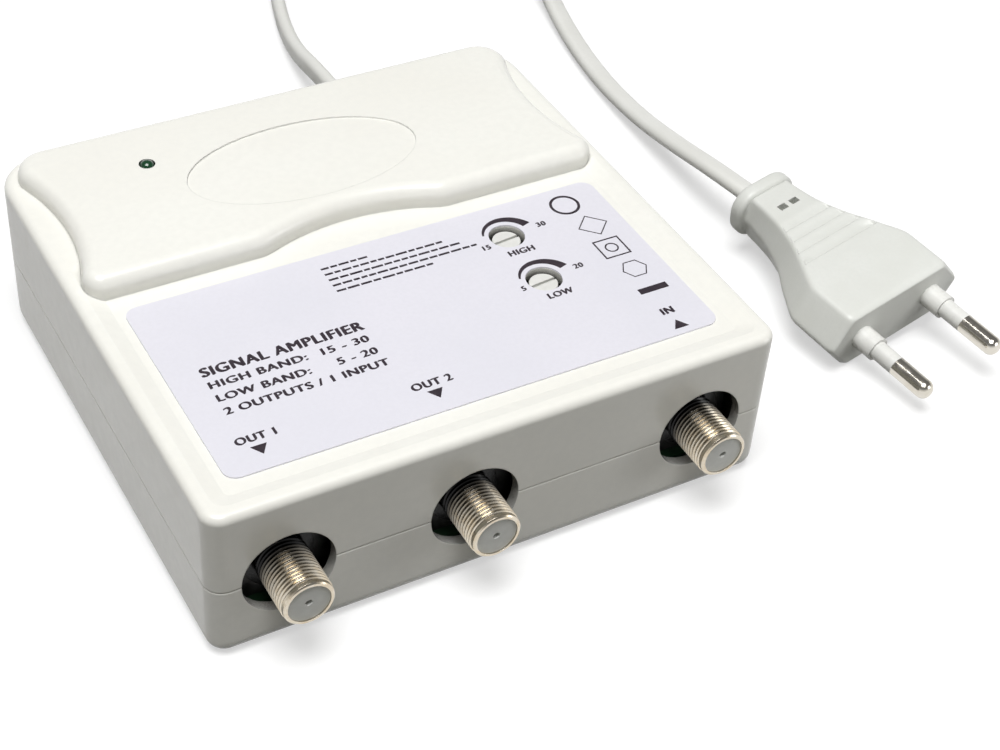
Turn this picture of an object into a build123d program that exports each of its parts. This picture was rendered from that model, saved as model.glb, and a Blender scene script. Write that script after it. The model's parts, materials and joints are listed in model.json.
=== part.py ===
from build123d import *
import math
import os

os.makedirs("parts", exist_ok=True)

# A mains powered aerial amplifier in a flat two-part case. Millimetres, Z up, the sockets face -Y.
# The origin lies on the floor under the middle of the case with its sockets.

# Case
case_width = 110.0
case_depth = 106.0
rim_height = 32.5
crown_rise = 3.5
parting_height = 15.5
wall = 2.2
floor_thickness = 2.0
cover_thickness = 2.0
front_corner_radius = 3.5
rear_corner_radius = 9.5
bottom_edge_radius = 3.2
top_edge_radius = 1.6
seam_bevel = 0.2
lip_height = 1.5
lip_thickness = 0.9
lip_clearance = 0.1
overrun = 1.0

# Recess in the top and the printed plate in it
rim_band = 2.7
recess_slope = 2.9
recess_depth = 1.1
recess_corner = 2.6
recess_floor_corner = 1.2
recess_tuck = 8.0
plate_side_margin = 7.2
plate_front_margin = 8.5
plate_depth_share = 0.44434
plate_thickness = 0.3
plate_corner = 2.5

# Crown, the raised rear part of the top
crown_side_inset = 2.9
crown_front_share = 0.56321
crown_rear_inset = 2.9
crown_waist_share = 0.07143
crown_waist_start_share = 0.09447
crown_waist_length_share = 0.75115
crown_front_corner_share = 0.07834
crown_rear_corner_share = 0.13594
crown_blend_share = 0.06912
crown_dip_share = 0.03545
crown_dip_width_share = 0.32909
crown_dip_blend_share = 0.05455
crown_edge_radius = 2.6
crown_pocket_inset = 13.0
crown_pocket_front = 6.5
crown_pocket_rear = 9.0
crown_roof = 2.2
oval_place_share = (0.48182, 0.74528)
oval_half_width_share = 0.21182
oval_half_depth_share = 0.11321
oval_recess = 0.35

# Vent slots in the rear slope of the crown and in the floor
rear_vent_count = 8
rear_vent_pitch = 2.0
rear_vent_width = 1.0
rear_vent_place_share = 0.39091
rear_vent_depth = 8.6
rear_vent_top = 34.9
rear_vent_height = 3.2
floor_vent_count = 6
floor_vent_pitch = 5.0
floor_vent_width = 2.0
floor_vent_length = 18.0
floor_vent_place_share = (0.46818, 0.73585)

# Case screws, driven upwards from deep wells in the floor
screw_side_margin = 8.5
middle_screw_gap = 0.2
rear_screw_margin = 8.5
well_boss_radius = 4.7
well_radius = 3.4
well_depth = 8.0
boss_meeting_height = 10.0
screw_hole_radius = 1.6
screw_radius = 1.45
screw_length = 9.0
screw_head_radius = 2.8
screw_head_height = 2.0
screw_cross_width = 0.8
screw_cross_length = 3.2
screw_cross_depth = 1.1
cover_boss_radius = 3.5
cover_hole_depth = 10.0

# Circuit board and its seats
board_gap = 3.5
board_thickness = 1.6
board_side_gap = 1.2
board_front_gap = 1.0
board_rear_gap = 3.2
board_notch_clearance = 0.6
cord_bay_side = 9.6
cord_bay_depth_share = 0.20755
board_post_radius = 3.0
board_screw_radius = 1.2
board_screw_hole_radius = 1.5
board_screw_length = 4.6
board_screw_head_radius = 2.5
board_screw_head_height = 1.7
board_screw_place_shares = ((0.21818, 0.58019), (0.58182, 0.58019), (0.12727, 0.75472))
board_rest_place_shares = ((0.18182, 0.11321), (0.81818, 0.11321))

# Aerial sockets: a 3/8 inch, 32 turns per inch thread round a pale insulator
socket_place_shares = (0.12727, 0.44364, 0.86364)
socket_names = ("output_1", "output_2", "input")
socket_reach = 7.9
thread_radius = 4.7625
thread_pitch = 0.79375
thread_depth = 0.42
thread_crest_share = 0.22
socket_collar_length = 1.0
socket_collar_radius = 4.6
socket_collar_bevel = 0.25
insulator_radius = 3.9
insulator_recess = 0.3
insulator_hole_radius = 0.65
contact_radius = 0.95
contact_bore_radius = 0.45
contact_setback = 2.0
contact_tail_length = 3.0
contact_tail_width = 0.9
socket_flange_radius = 6.4
socket_flange_thickness = 1.0
socket_rear_radius = 4.3
socket_rear_length = 1.5
socket_well_radius = 8.5

# Screening box round the radio part of the board
shield_side_gap = 4.0
shield_front_gap = 2.9
shield_depth_share = 0.48113
shield_sheet = 0.5
shield_headroom = 2.4
shield_lid_skirt = 3.0
shield_lid_hole_radius = 3.5
partition_place_share = 0.6

# Gain trimmers, set with a screwdriver through the plate
trimmer_place_shares = ((0.72455, 0.43774), (0.72455, 0.30566))
trimmer_names = ("high_band", "low_band")
trimmer_hole_radius = 3.45
trimmer_body_radius = 5.1
trimmer_body_height = 4.8
trimmer_leg_width = 1.0
trimmer_leg_length = 1.6
journal_radius = 2.05
journal_clearance = 0.05
journal_foot_gap = 0.3
shoulder_gap = 0.15
knob_stem_radius = 2.3
knob_radius = 2.72
knob_length = 3.0
knob_recess = 0.9
knob_slot_width = 0.6
knob_slot_depth = 0.9
knob_slot_turn = 6.0
knob_edge_radius = 0.25

# Pilot light
led_place_share = (0.23091, 0.84434)
led_radius = 1.5
led_length = 5.3
led_flange_radius = 1.9
led_flange_height = 1.0
led_dome_rise = 0.6
led_hole_clearance = 0.06
led_lead_side = 0.5
led_lead_spacing = 1.27
spacer_radius = 2.4
spacer_bore_radius = 1.5

# Mains supply parts on the rear of the board
transformer_place_share = (0.45455, 0.71698)
core_width = 16.0
core_height = 13.0
core_thickness = 5.0
core_leg = 2.5
core_middle_leg = 4.0
core_yoke = 2.4
core_lift = 1.2
bobbin_wall = 0.5
bobbin_flange = 0.8
bobbin_depth = 13.0
bobbin_rail_width = 3.6
bobbin_gap = 0.2
winding_margin = 0.4
winding_corner = 1.6
bulk_capacitor_place_share = (0.61818, 0.84906)
bulk_capacitor_radius = 4.0
bulk_capacitor_height = 14.0
output_capacitor_place_shares = ((0.31818, 0.7783), (0.31818, 0.86321))
output_capacitor_radius = 3.15
output_capacitor_height = 11.0
capacitor_edge_radius = 0.5
capacitor_waist_height = 2.0
capacitor_waist_depth = 0.35
capacitor_waist_width = 0.8
fuse_place_share = (0.71818, 0.60849)
fuse_radius = 1.7
fuse_length = 9.0
diode_row_shares = (0.66818, 0.7, 0.73182, 0.76364)
diode_row_depth_share = 0.68868
output_diode_place_share = (0.25455, 0.67925)
diode_radius = 1.3
diode_length = 5.2
axial_lead_radius = 0.35
axial_lead_reach = 1.6
choke_place_share = (0.82727, 0.63208)
choke_radius = 3.6
choke_height = 8.0
choke_flange_height = 1.0
choke_waist = 0.7
power_chip_place_share = (0.6, 0.70755)
power_chip_size = (6.4, 9.6, 3.3)
coupler_place_share = (0.34545, 0.66038)
coupler_size = (4.6, 6.5, 3.5)
chip_stand_off = 0.5
chip_leg_width = 0.5
chip_leg_reach = 0.8
power_chip_legs = 4
coupler_legs = 2
chip_leg_pitch = 2.54
safety_capacitor_place_share = (0.45455, 0.85849)
safety_capacitor_radius = 4.2
safety_capacitor_thickness = 3.4
disc_edge_radius = 1.2
disc_lift = 1.0
disc_lead_spacing = 5.0

# Radio parts inside the screening box, as shares of its floor
transistor_size = (4.5, 2.5, 1.5)
transistor_place_shares = ((0.70, 0.28), (0.83, 0.30), (0.66, 0.66), (0.93, 0.62))
core_block_size = (6.0, 4.0, 4.2)
core_bore_radius = 1.1
ferrite_place_shares = ((0.14, 0.36), (0.32, 0.36), (0.47, 0.62))
air_coil_radius = 1.6
air_coil_bore_radius = 1.2
air_coil_length = 4.0
air_coil_place_shares = ((0.66, 0.44), (0.86, 0.46), (0.86, 0.74), (0.93, 0.34), (0.55, 0.30), (0.22, 0.66))
chip_size = (2.0, 1.25, 0.7)
chip_row_shares = (0.18, 0.50, 0.82)
chip_column_shares = (0.06, 0.24, 0.40, 0.52)
chip_amplifier_shares = ((0.66, 0.16), (0.78, 0.16), (0.95, 0.80), (0.66, 0.88), (0.88, 0.88), (0.93, 0.94))

# Mains cord, its grommet and the clamp inside
cord_from_right = 24.0
cord_height = 9.0
cord_width = 5.0
cord_thickness = 3.1
grommet_length = 22.0
grommet_neck_radius = 4.0
grommet_fit = 0.05
grommet_flange_radius = 5.5
grommet_flange_thickness = 1.4
grommet_collar_radius = 5.2
grommet_collar_thickness = 1.3
grommet_root_radius = 4.3
grommet_tip_radius = 3.2
grommet_slot_count = 4
grommet_slot_width = 1.2
grommet_slot_depth = 1.3
grommet_slot_pitch = 3.6
clamp_from_rear = 10.0
clamp_width = 4.0
clamp_thickness = 2.0
clamp_post_spacing = 6.4
clamp_post_radius = 2.6
clamp_ear = 2.6
clamp_rest_width = 6.0
clamp_screw_radius = 1.1
clamp_screw_length = 7.0
clamp_screw_head_radius = 2.1
clamp_screw_head_height = 1.5
wire_radius = 0.8
wire_spread = 3.6
wire_free_run = 5.4
wire_pad_from_board_edge = 3.0
wire_rise = 5.0
wire_bend = 2.2
wire_cord_offset = 1.25

# Round coil of the put-away length of the cord
coil_centre = (76.0, 168.0)
coil_outer_radius = 31.5
coil_step = 1.85
coil_half_turns = 5
coil_layer_rise = 5.65
coil_lift = 0.05
coil_end_length = 5.0
tie_thickness = 0.8
tie_width = 6.0
tie_clearance = 0.3

# Route points of the two free leads, from the case end to the plug end
rear_lead_route = (
    (33.0, 112.0, 4.2),
    (37.8, 131.0, 2.6),
    (44.5, 149.5, 3.35),
    (44.5, 163.0, 3.35),
)
plug_lead_route = (
    (107.5, 163.0, 9.0),
    (107.5, 143.5, 9.0),
    (104.6, 121.0, 4.7),
    (99.6, 98.0, 2.6),
    (96.6, 76.0, 2.7),
    (95.3, 56.0, 4.4),
    (93.6, 37.5, 8.2),
)
rear_lead_first_run = 14.05
plug_lead_last_run = 11.5
lead_arc_share = 0.45
gap_check_spacing = 1.5
gap_check_skip = 20.0

# Two-pin plug, which rests on one long edge, held there by its stiff cord
plug_face_place = (99.8, -31.95, 8.4)
plug_turn = 8.4
plug_roll = 7.7
plug_pitch = 4.0
plug_width = 35.4
plug_flat_width = 26.0
plug_thickness = 13.6
plug_stations_share = (0.0, 0.03, 0.25, 0.41, 0.58, 0.76, 0.92)
plug_widths_share = (0.97, 1.0, 1.0, 0.83, 0.58, 0.42, 0.36)
plug_flats_share = (0.96, 1.0, 1.0, 0.80, 0.56, 0.42, 0.38)
plug_heights_share = (0.94, 1.0, 1.0, 0.99, 0.93, 0.86, 0.82)
plug_length = 42.0
plug_collar_width = 15.6
plug_collar_height = 12.2
plug_collar_length = 3.4
plug_collar_corner = 5.2
plug_collar_edge = 1.2
grip_count = 4
grip_first = 17.0
grip_pitch = 3.2
grip_width = 1.1
grip_depth = 0.6
grip_length_share = 0.5
pin_spacing = 18.8
pin_radius = 2.0
pin_length = 19.0
pin_sleeve_length = 10.0
pin_core_radius = 1.55
pin_root_radius = 2.55
pin_root_length = 4.6
pin_depth = 9.0
pin_tip_radius = 1.7

left = -case_width / 2
right = case_width / 2
front = -(case_depth - socket_reach) / 2
rear = front + case_depth
middle_y = front + case_depth / 2
crown_height = rim_height + crown_rise
recess_floor = rim_height - recess_depth
cover_underside = recess_floor - cover_thickness
plate_top = recess_floor + plate_thickness
board_low = floor_thickness + board_gap
board_top = board_low + board_thickness
axis_height = parting_height
bottom_align = (Align.CENTER, Align.CENTER, Align.MIN)


# Places are shares of the case's width from its left side and of its depth from its front face
def spot(width_share, depth_share):
    return left + width_share * case_width, front + depth_share * case_depth


def block(x_span, y_span, z_span):
    size = [high - low for low, high in (x_span, y_span, z_span)]
    centre = [(low + high) / 2 for low, high in (x_span, y_span, z_span)]
    return Pos(*centre) * Box(*size)


def post(place, z_span, radius):
    low, high = z_span
    return Pos(place[0], place[1], low) * Cylinder(radius, high - low, align=bottom_align)


def barrel(x, z, y_span, radius):
    low, high = y_span
    return Pos(x, low, z) * Rot(X=-90) * Cylinder(radius, high - low, align=bottom_align)


def around(value, half):
    return value - half, value + half


def save(node, *solids):
    shape = solids[0] if len(solids) == 1 else Compound(children=list(solids))
    export_step(shape, f"parts/{node}.step")
    print(node, "volume", round(sum(solid.volume for solid in solids), 1))


# Plan of the case, drawn in from its outer face
def case_plan(inset):
    plan = Pos(0, middle_y) * Rectangle(case_width - 2 * inset, case_depth - 2 * inset)
    plan = fillet(plan.vertices().sort_by(Axis.Y)[:2], front_corner_radius - inset)
    return fillet(plan.vertices().sort_by(Axis.Y)[-2:], rear_corner_radius - inset)


def case_slab(inset, z_span):
    return Pos(0, 0, z_span[0]) * extrude(case_plan(inset), z_span[1] - z_span[0])


def crown_plan():
    side = case_width / 2 - crown_side_inset
    low = crown_front
    high = rear - crown_rear_inset
    depth = high - low
    waist_low = low + crown_waist_start_share * depth
    waist_high = waist_low + crown_waist_length_share * depth
    waist_middle = (waist_low + waist_high) / 2
    waist_side = side - crown_waist_share * depth
    dip = crown_dip_width_share * case_width / 2
    dip_middle = low + crown_dip_share * case_width
    outline = [
        Line((-side, low), (-dip, low)),
        ThreePointArc((-dip, low), (0, dip_middle), (dip, low)),
        Line((dip, low), (side, low)),
        Line((side, low), (side, waist_low)),
        ThreePointArc((side, waist_low), (waist_side, waist_middle), (side, waist_high)),
        Line((side, waist_high), (side, high)),
        Line((side, high), (-side, high)),
        Line((-side, high), (-side, waist_high)),
        ThreePointArc((-side, waist_high), (-waist_side, waist_middle), (-side, waist_low)),
        Line((-side, waist_low), (-side, low)),
    ]
    plan = make_face(Curve() + outline)
    dips = plan.vertices().sort_by(lambda v: abs(abs(v.X) - dip) + abs(v.Y - low))[:2]
    plan = fillet(dips, crown_dip_blend_share * case_width)
    corners = plan.vertices().sort_by(lambda v: abs(abs(v.X) - side) + abs(v.Y - low))[:2]
    plan = fillet(corners, crown_front_corner_share * depth)
    for level in (waist_low, waist_high):
        kinks = plan.vertices().sort_by(lambda v: abs(abs(v.X) - side) + abs(v.Y - level))[:2]
        plan = fillet(kinks, crown_blend_share * depth)
    corners = plan.vertices().sort_by(lambda v: abs(abs(v.X) - side) + abs(v.Y - high))[:2]
    return fillet(corners, crown_rear_corner_share * depth)


def rounded_plan(x_span, y_span, corner):
    centre = Pos((x_span[0] + x_span[1]) / 2, (y_span[0] + y_span[1]) / 2)
    return centre * RectangleRounded(x_span[1] - x_span[0], y_span[1] - y_span[0], corner)


crown_front = front + crown_front_share * case_depth
shield_front = front + wall + shield_front_gap
shield_rear = shield_front + shield_depth_share * case_depth
middle_screw_y = shield_rear + shield_sheet + middle_screw_gap + well_boss_radius
screw_spots = [
    (side * (case_width / 2 - screw_side_margin), y)
    for side in (-1, 1)
    for y in (middle_screw_y, rear - rear_screw_margin)
]
board_screw_spots = [spot(*share) for share in board_screw_place_shares]
board_rest_spots = [spot(*share) for share in board_rest_place_shares]
socket_x = [left + share * case_width for share in socket_place_shares]
trimmer_spots = [spot(*share) for share in trimmer_place_shares]
led_spot = spot(*led_place_share)
cord_x = right - cord_from_right
clamp_y = rear - clamp_from_rear
clamp_post_spots = [(cord_x + side * clamp_post_spacing, clamp_y) for side in (-1, 1)]
clamp_seat = cord_height + cord_width / 2
cord_rest = cord_height - cord_width / 2


# Tunnels through the front wall, which leave room for the nut of an aerial plug
def socket_tunnels():
    tunnels = Part()
    for x in socket_x:
        tunnels += barrel(x, axis_height, (front - overrun, front + wall + overrun), socket_well_radius)
    return tunnels


def bottom_case():
    shell = case_slab(0, (0, parting_height))
    shell = fillet(shell.edges().group_by(Axis.Z)[0], bottom_edge_radius)
    shell = chamfer(shell.edges().group_by(Axis.Z)[-1], seam_bevel)
    shell -= case_slab(wall, (floor_thickness, parting_height + overrun))
    lip_outer = case_slab(wall - lip_thickness, (parting_height, parting_height + lip_height))
    shell += lip_outer - case_slab(wall, (parting_height, parting_height + lip_height))
    for place in screw_spots:
        shell += post(place, (floor_thickness, boss_meeting_height), well_boss_radius)
    for place in screw_spots:
        shell -= post(place, (0, well_depth), well_radius)
        shell -= post(place, (well_depth, boss_meeting_height), screw_hole_radius)
    for place in board_screw_spots:
        seat = post(place, (floor_thickness, board_low), board_post_radius)
        shell += seat - post(place, (board_top - board_screw_length, board_low), board_screw_radius)
    for place in board_rest_spots:
        shell += post(place, (floor_thickness, board_low), board_post_radius)
    for place in clamp_post_spots:
        seat = post(place, (floor_thickness, clamp_seat), clamp_post_radius)
        hole_low = clamp_seat + clamp_thickness - clamp_screw_length
        shell += seat - post(place, (hole_low, clamp_seat), clamp_screw_radius)
    rest_x = around(cord_x, clamp_rest_width / 2)
    rest_y = around(clamp_y, clamp_width / 2)
    shell += block(rest_x, rest_y, (floor_thickness, cord_rest))
    vent_x, vent_y = spot(*floor_vent_place_share)
    for index in range(floor_vent_count):
        x = vent_x + (index - (floor_vent_count - 1) / 2) * floor_vent_pitch
        slot = Pos(x, vent_y) * SlotOverall(floor_vent_length, floor_vent_width, rotation=90)
        shell -= Pos(0, 0, -overrun) * extrude(slot, floor_thickness + 2 * overrun)
    hole_radius = grommet_neck_radius + grommet_fit
    shell -= barrel(cord_x, cord_height, (rear - wall - overrun, rear + overrun), hole_radius)
    return shell - socket_tunnels()


def top_cover():
    shell = case_slab(0, (parting_height, rim_height))
    shell = fillet(shell.edges().group_by(Axis.Z)[-1], top_edge_radius)
    shell = chamfer(shell.edges().group_by(Axis.Z)[0], seam_bevel)
    outer_x = around(0, case_width / 2 - rim_band)
    inner_x = around(0, case_width / 2 - rim_band - recess_slope)
    recess_rear = crown_front + recess_tuck
    outer = rounded_plan(outer_x, (front + rim_band, recess_rear + recess_slope), recess_corner)
    inner = rounded_plan(inner_x, (front + rim_band + recess_slope, recess_rear), recess_floor_corner)
    shell -= loft([Pos(0, 0, rim_height) * outer, Pos(0, 0, recess_floor) * inner], ruled=True)
    crown = Pos(0, 0, recess_floor) * extrude(crown_plan(), crown_height - recess_floor)
    crown = fillet(crown.edges().group_by(Axis.Z)[-1], crown_edge_radius)
    shell += crown
    shell -= case_slab(wall, (parting_height, cover_underside))
    rebate = wall - lip_thickness - lip_clearance
    shell -= case_slab(rebate, (parting_height, parting_height + lip_height + lip_clearance))
    pocket_x = around(0, case_width / 2 - crown_pocket_inset)
    pocket_y = (crown_front + crown_pocket_front, rear - crown_pocket_rear)
    shell -= block(pocket_x, pocket_y, (cover_underside, crown_height - crown_roof))
    for place in screw_spots:
        shell += post(place, (boss_meeting_height, cover_underside), cover_boss_radius)
    for place in screw_spots:
        shell -= post(place, (boss_meeting_height, boss_meeting_height + cover_hole_depth), screw_radius)
    oval = Ellipse(oval_half_width_share * case_width, oval_half_depth_share * case_depth)
    oval = Pos(*spot(*oval_place_share)) * oval
    shell -= Pos(0, 0, crown_height - oval_recess) * extrude(oval, overrun)
    for place in trimmer_spots:
        shell -= post(place, (cover_underside - overrun, rim_height), trimmer_hole_radius)
    led_hole_low = crown_height - crown_roof - overrun
    shell -= post(led_spot, (led_hole_low, crown_height + overrun), led_radius + led_hole_clearance)
    vent_x = left + rear_vent_place_share * case_width
    for index in range(rear_vent_count):
        x = vent_x + (index - (rear_vent_count - 1) / 2) * rear_vent_pitch
        vent_y = (rear - rear_vent_depth, rear + overrun)
        vent_z = (rear_vent_top - rear_vent_height, rear_vent_top)
        shell -= block(around(x, rear_vent_width / 2), vent_y, vent_z)
    return shell - socket_tunnels()


def label_plate():
    x_span = around(0, case_width / 2 - plate_side_margin)
    plate_front = front + plate_front_margin
    y_span = (plate_front, plate_front + plate_depth_share * case_depth)
    plate = Pos(0, 0, recess_floor) * extrude(rounded_plan(x_span, y_span, plate_corner), plate_thickness)
    for place in trimmer_spots:
        plate -= post(place, (recess_floor - overrun, plate_top + overrun), trimmer_hole_radius)
    return plate


# A pan-head screw whose head faces down (drive -1) or up (drive 1), cross slotted
def screw(place, seat, drive, radius, length, head_radius, head_height):
    head_span = sorted((seat, seat + drive * head_height))
    shaft_span = sorted((seat, seat - drive * length))
    body = post(place, head_span, head_radius) + post(place, shaft_span, radius)
    top = seat + drive * head_height
    cut_span = sorted((top, top - drive * screw_cross_depth * head_height / screw_head_height))
    long = screw_cross_length / 2 * head_radius / screw_head_radius
    short = screw_cross_width / 2
    body -= block(around(place[0], long), around(place[1], short), cut_span)
    return body - block(around(place[0], short), around(place[1], long), cut_span)


def case_screws():
    size = (screw_radius, screw_length, screw_head_radius, screw_head_height)
    return [screw(place, well_depth, -1, *size) for place in screw_spots]


def board_screws():
    size = (board_screw_radius, board_screw_length, board_screw_head_radius, board_screw_head_height)
    return [screw(place, board_top, 1, *size) for place in board_screw_spots]


board_x = around(0, case_width / 2 - wall - board_side_gap)
board_y = (front + wall + board_front_gap, rear - wall - board_rear_gap)
cord_bay_y = rear - cord_bay_depth_share * case_depth
wire_start_y = cord_bay_y + wire_free_run


def circuit_board():
    board = block(board_x, board_y, (board_low, board_top))
    level = (board_low - overrun, board_top + overrun)
    notch = well_boss_radius + board_notch_clearance
    for x, y in screw_spots:
        outside = (x - notch, x + notch + case_width) if x > 0 else (x - notch - case_width, x + notch)
        behind = y + notch if y < cord_bay_y else rear
        board -= block(outside, (y - notch, behind), level)
    bay_x = (cord_x - cord_bay_side, right)
    board -= block(bay_x, (cord_bay_y, rear), level)
    for place in board_screw_spots:
        board -= post(place, level, board_screw_hole_radius)
    return board


# The thread is drawn as rings: one saw-tooth profile turned about the socket's axis
def socket_shell(x):
    tip = front - socket_reach
    flange_front = shield_front - socket_flange_thickness
    thread_start = tip + socket_collar_length
    turns = int((flange_front - thread_start) / thread_pitch)
    root = thread_radius - thread_depth
    crest = thread_pitch * thread_crest_share / 2
    profile = [(insulator_radius, tip), (socket_collar_radius - socket_collar_bevel, tip)]
    profile += [(socket_collar_radius, tip + socket_collar_bevel), (socket_collar_radius, thread_start)]
    for turn in range(turns):
        centre = thread_start + (turn + 1 / 2) * thread_pitch
        profile += [(root, centre - thread_pitch / 2), (thread_radius, centre - crest)]
        profile += [(thread_radius, centre + crest)]
    profile += [(root, thread_start + turns * thread_pitch), (root, flange_front)]
    profile += [(socket_flange_radius, flange_front), (socket_flange_radius, shield_front)]
    profile += [(socket_rear_radius, shield_front), (socket_rear_radius, shield_front + socket_rear_length)]
    profile += [(insulator_radius, shield_front + socket_rear_length)]
    face = make_face(Polyline(*profile, close=True))
    return Pos(x, 0, axis_height) * revolve(face, Axis.Y)


def socket_insulator(x):
    low = front - socket_reach + insulator_recess
    high = shield_front + socket_rear_length
    body = barrel(x, axis_height, (low, high), insulator_radius)
    body -= barrel(x, axis_height, (low - overrun, high + overrun), insulator_hole_radius)
    return body - barrel(x, axis_height, (low + contact_setback, high + overrun), contact_radius)


def socket_contact(x):
    low = front - socket_reach + insulator_recess + contact_setback
    tail_start = shield_front + shield_sheet + socket_rear_length
    tail_end = tail_start + contact_tail_length
    body = barrel(x, axis_height, (low, tail_end), contact_radius)
    body -= barrel(x, axis_height, (low - overrun, tail_start), contact_bore_radius)
    tail_y = (tail_end - contact_tail_width, tail_end)
    return body + block(around(x, contact_tail_width / 2), tail_y, (board_top, axis_height))


shield_x = around(0, case_width / 2 - wall - shield_side_gap)
lid_top = cover_underside - shield_headroom
lid_low = lid_top - shield_sheet
partition_x = left + partition_place_share * case_width


def shield_frame():
    inner_x = (shield_x[0] + shield_sheet, shield_x[1] - shield_sheet)
    inner_y = (shield_front + shield_sheet, shield_rear - shield_sheet)
    frame = block(shield_x, (shield_front, shield_rear), (board_top, lid_low))
    frame -= block(inner_x, inner_y, (board_top, lid_low))
    for x in socket_x:
        frame -= barrel(x, axis_height, (shield_front - overrun, shield_front + overrun), socket_rear_radius)
    return frame


def shield_partition():
    y_span = (shield_front + shield_sheet, shield_rear - shield_sheet)
    return block(around(partition_x, shield_sheet / 2), y_span, (board_top, lid_low))


def shield_lid():
    outer_x = (shield_x[0] - shield_sheet, shield_x[1] + shield_sheet)
    outer_y = (shield_front - shield_sheet, shield_rear + shield_sheet)
    lid = block(outer_x, outer_y, (lid_low - shield_lid_skirt, lid_top))
    lid -= block(shield_x, (shield_front, shield_rear), (lid_low - shield_lid_skirt, lid_low))
    for place in trimmer_spots:
        lid -= post(place, (lid_low - overrun, lid_top + overrun), shield_lid_hole_radius)
    return lid


def trimmer_body(place):
    x, y = place
    height = board_top + trimmer_body_height
    body = post(place, (board_top, height), trimmer_body_radius)
    for side in (-1, 1):
        leg_x = sorted((x, x + side * (trimmer_body_radius + trimmer_leg_length)))
        leg_y = around(y, trimmer_leg_width / 2)
        body += block(leg_x, leg_y, (board_top, board_top + trimmer_leg_width))
    return body - post(place, (board_top, height), journal_radius + journal_clearance)


def trimmer_shaft(place):
    x, y = place
    knob_top = plate_top - knob_recess
    shoulder = board_top + trimmer_body_height + shoulder_gap
    knob = post(place, (knob_top - knob_length, knob_top), knob_radius)
    knob = fillet(knob.edges().group_by(Axis.Z)[-1], knob_edge_radius)
    shaft = knob + post(place, (shoulder, knob_top - knob_length), knob_stem_radius)
    shaft += post(place, (board_top + journal_foot_gap, shoulder), journal_radius)
    slot = Box(2 * knob_radius + overrun, knob_slot_width, 2 * knob_slot_depth)
    return shaft - Pos(x, y, knob_top) * Rot(Z=knob_slot_turn) * slot


led_top = crown_height + led_dome_rise
led_base = led_top - led_length


def led_lens():
    body = post(led_spot, (led_base, led_top), led_radius)
    body = fillet(body.edges().group_by(Axis.Z)[-1], led_radius - led_hole_clearance)
    return body + post(led_spot, (led_base, led_base + led_flange_height), led_flange_radius)


def led_spacer():
    span = (board_top, led_base)
    return post(led_spot, span, spacer_radius) - post(led_spot, span, spacer_bore_radius)


def led_leads():
    x, y = led_spot
    half = led_lead_side / 2
    return [
        block(around(x + side * led_lead_spacing / 2, half), around(y, half), (board_top, led_base))
        for side in (-1, 1)
    ]


transformer_spot = spot(*transformer_place_share)
core_low = board_top + core_lift
core_top = core_low + core_height
window_low = core_low + core_yoke
window_top = core_top - core_yoke
window_width = (core_width - core_middle_leg - 2 * core_leg) / 2
tube_half_x = core_middle_leg / 2 + bobbin_wall
tube_half_y = core_thickness / 2 + bobbin_wall
spool_half_x = core_width / 2 - core_leg - bobbin_gap
spool_half_y = bobbin_depth / 2


def transformer_core():
    x, y = transformer_spot
    y_span = around(y, core_thickness / 2)
    core = block(around(x, core_width / 2), y_span, (core_low, core_top))
    offset = (core_middle_leg + window_width) / 2
    for side in (-1, 1):
        window_x = around(x + side * offset, window_width / 2)
        core -= block(window_x, y_span, (window_low, window_top))
    return core


def transformer_bobbin():
    x, y = transformer_spot
    flange_x = around(x, spool_half_x)
    flange_y = around(y, spool_half_y)
    spool = block(around(x, tube_half_x), around(y, tube_half_y), (window_low, window_top))
    spool += block(flange_x, flange_y, (window_low, window_low + bobbin_flange))
    spool += block(flange_x, flange_y, (window_top - bobbin_flange, window_top))
    for side in (-1, 1):
        rail_y = sorted((y + side * spool_half_y, y + side * (spool_half_y - bobbin_rail_width)))
        spool += block(flange_x, rail_y, (board_top, window_low + bobbin_flange))
    leg = (around(x, core_middle_leg / 2), around(y, core_thickness / 2))
    return spool - block(*leg, (window_low, window_top))


def transformer_winding():
    x, y = transformer_spot
    z_span = (window_low + bobbin_flange, window_top - bobbin_flange)
    outer_x = around(x, spool_half_x - winding_margin)
    outer_y = around(y, spool_half_y - winding_margin)
    turns = extrude(rounded_plan(outer_x, outer_y, winding_corner), z_span[1] - z_span[0])
    return Pos(0, 0, z_span[0]) * turns - block(around(x, tube_half_x), around(y, tube_half_y), z_span)


def can_capacitor(place, radius, height):
    can = post(place, (board_top, board_top + height), radius)
    can = fillet(can.edges().group_by(Axis.Z)[-1], capacitor_edge_radius)
    low = board_top + capacitor_waist_height
    band = (low, low + capacitor_waist_width)
    ring = post(place, band, radius + overrun) - post(place, band, radius - capacitor_waist_depth)
    return can - ring


def axial_part(place, radius, length, along_x):
    x, y = place
    height = board_top + radius
    reach = length / 2 + axial_lead_reach
    lead = Cylinder(axial_lead_radius, 2 * reach)
    body = Rot(Y=90) * (Cylinder(radius, length) + lead)
    for side in (-1, 1):
        foot_x = around(side * (reach - axial_lead_radius), axial_lead_radius)
        body += block(foot_x, around(0, axial_lead_radius), (-radius, 0))
    return Pos(x, y, height) * Rot(Z=0 if along_x else 90) * body


def input_choke():
    place = spot(*choke_place_share)
    top = board_top + choke_height
    drum = post(place, (board_top, top), choke_radius)
    band = (board_top + choke_flange_height, top - choke_flange_height)
    return drum - (post(place, band, choke_radius + overrun) - post(place, band, choke_radius - choke_waist))


def legged_chip(share, size, legs):
    x, y = spot(*share)
    width, depth, height = size
    low = board_top + chip_stand_off
    body = block(around(x, width / 2), around(y, depth / 2), (low, low + height))
    for side in (-1, 1):
        for index in range(legs):
            leg_y = y + (index - (legs - 1) / 2) * chip_leg_pitch
            leg_x = sorted((x + side * width / 2, x + side * (width / 2 + chip_leg_reach)))
            body += block(leg_x, around(leg_y, chip_leg_width / 2), (board_top, low + height / 2))
    return body


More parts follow.
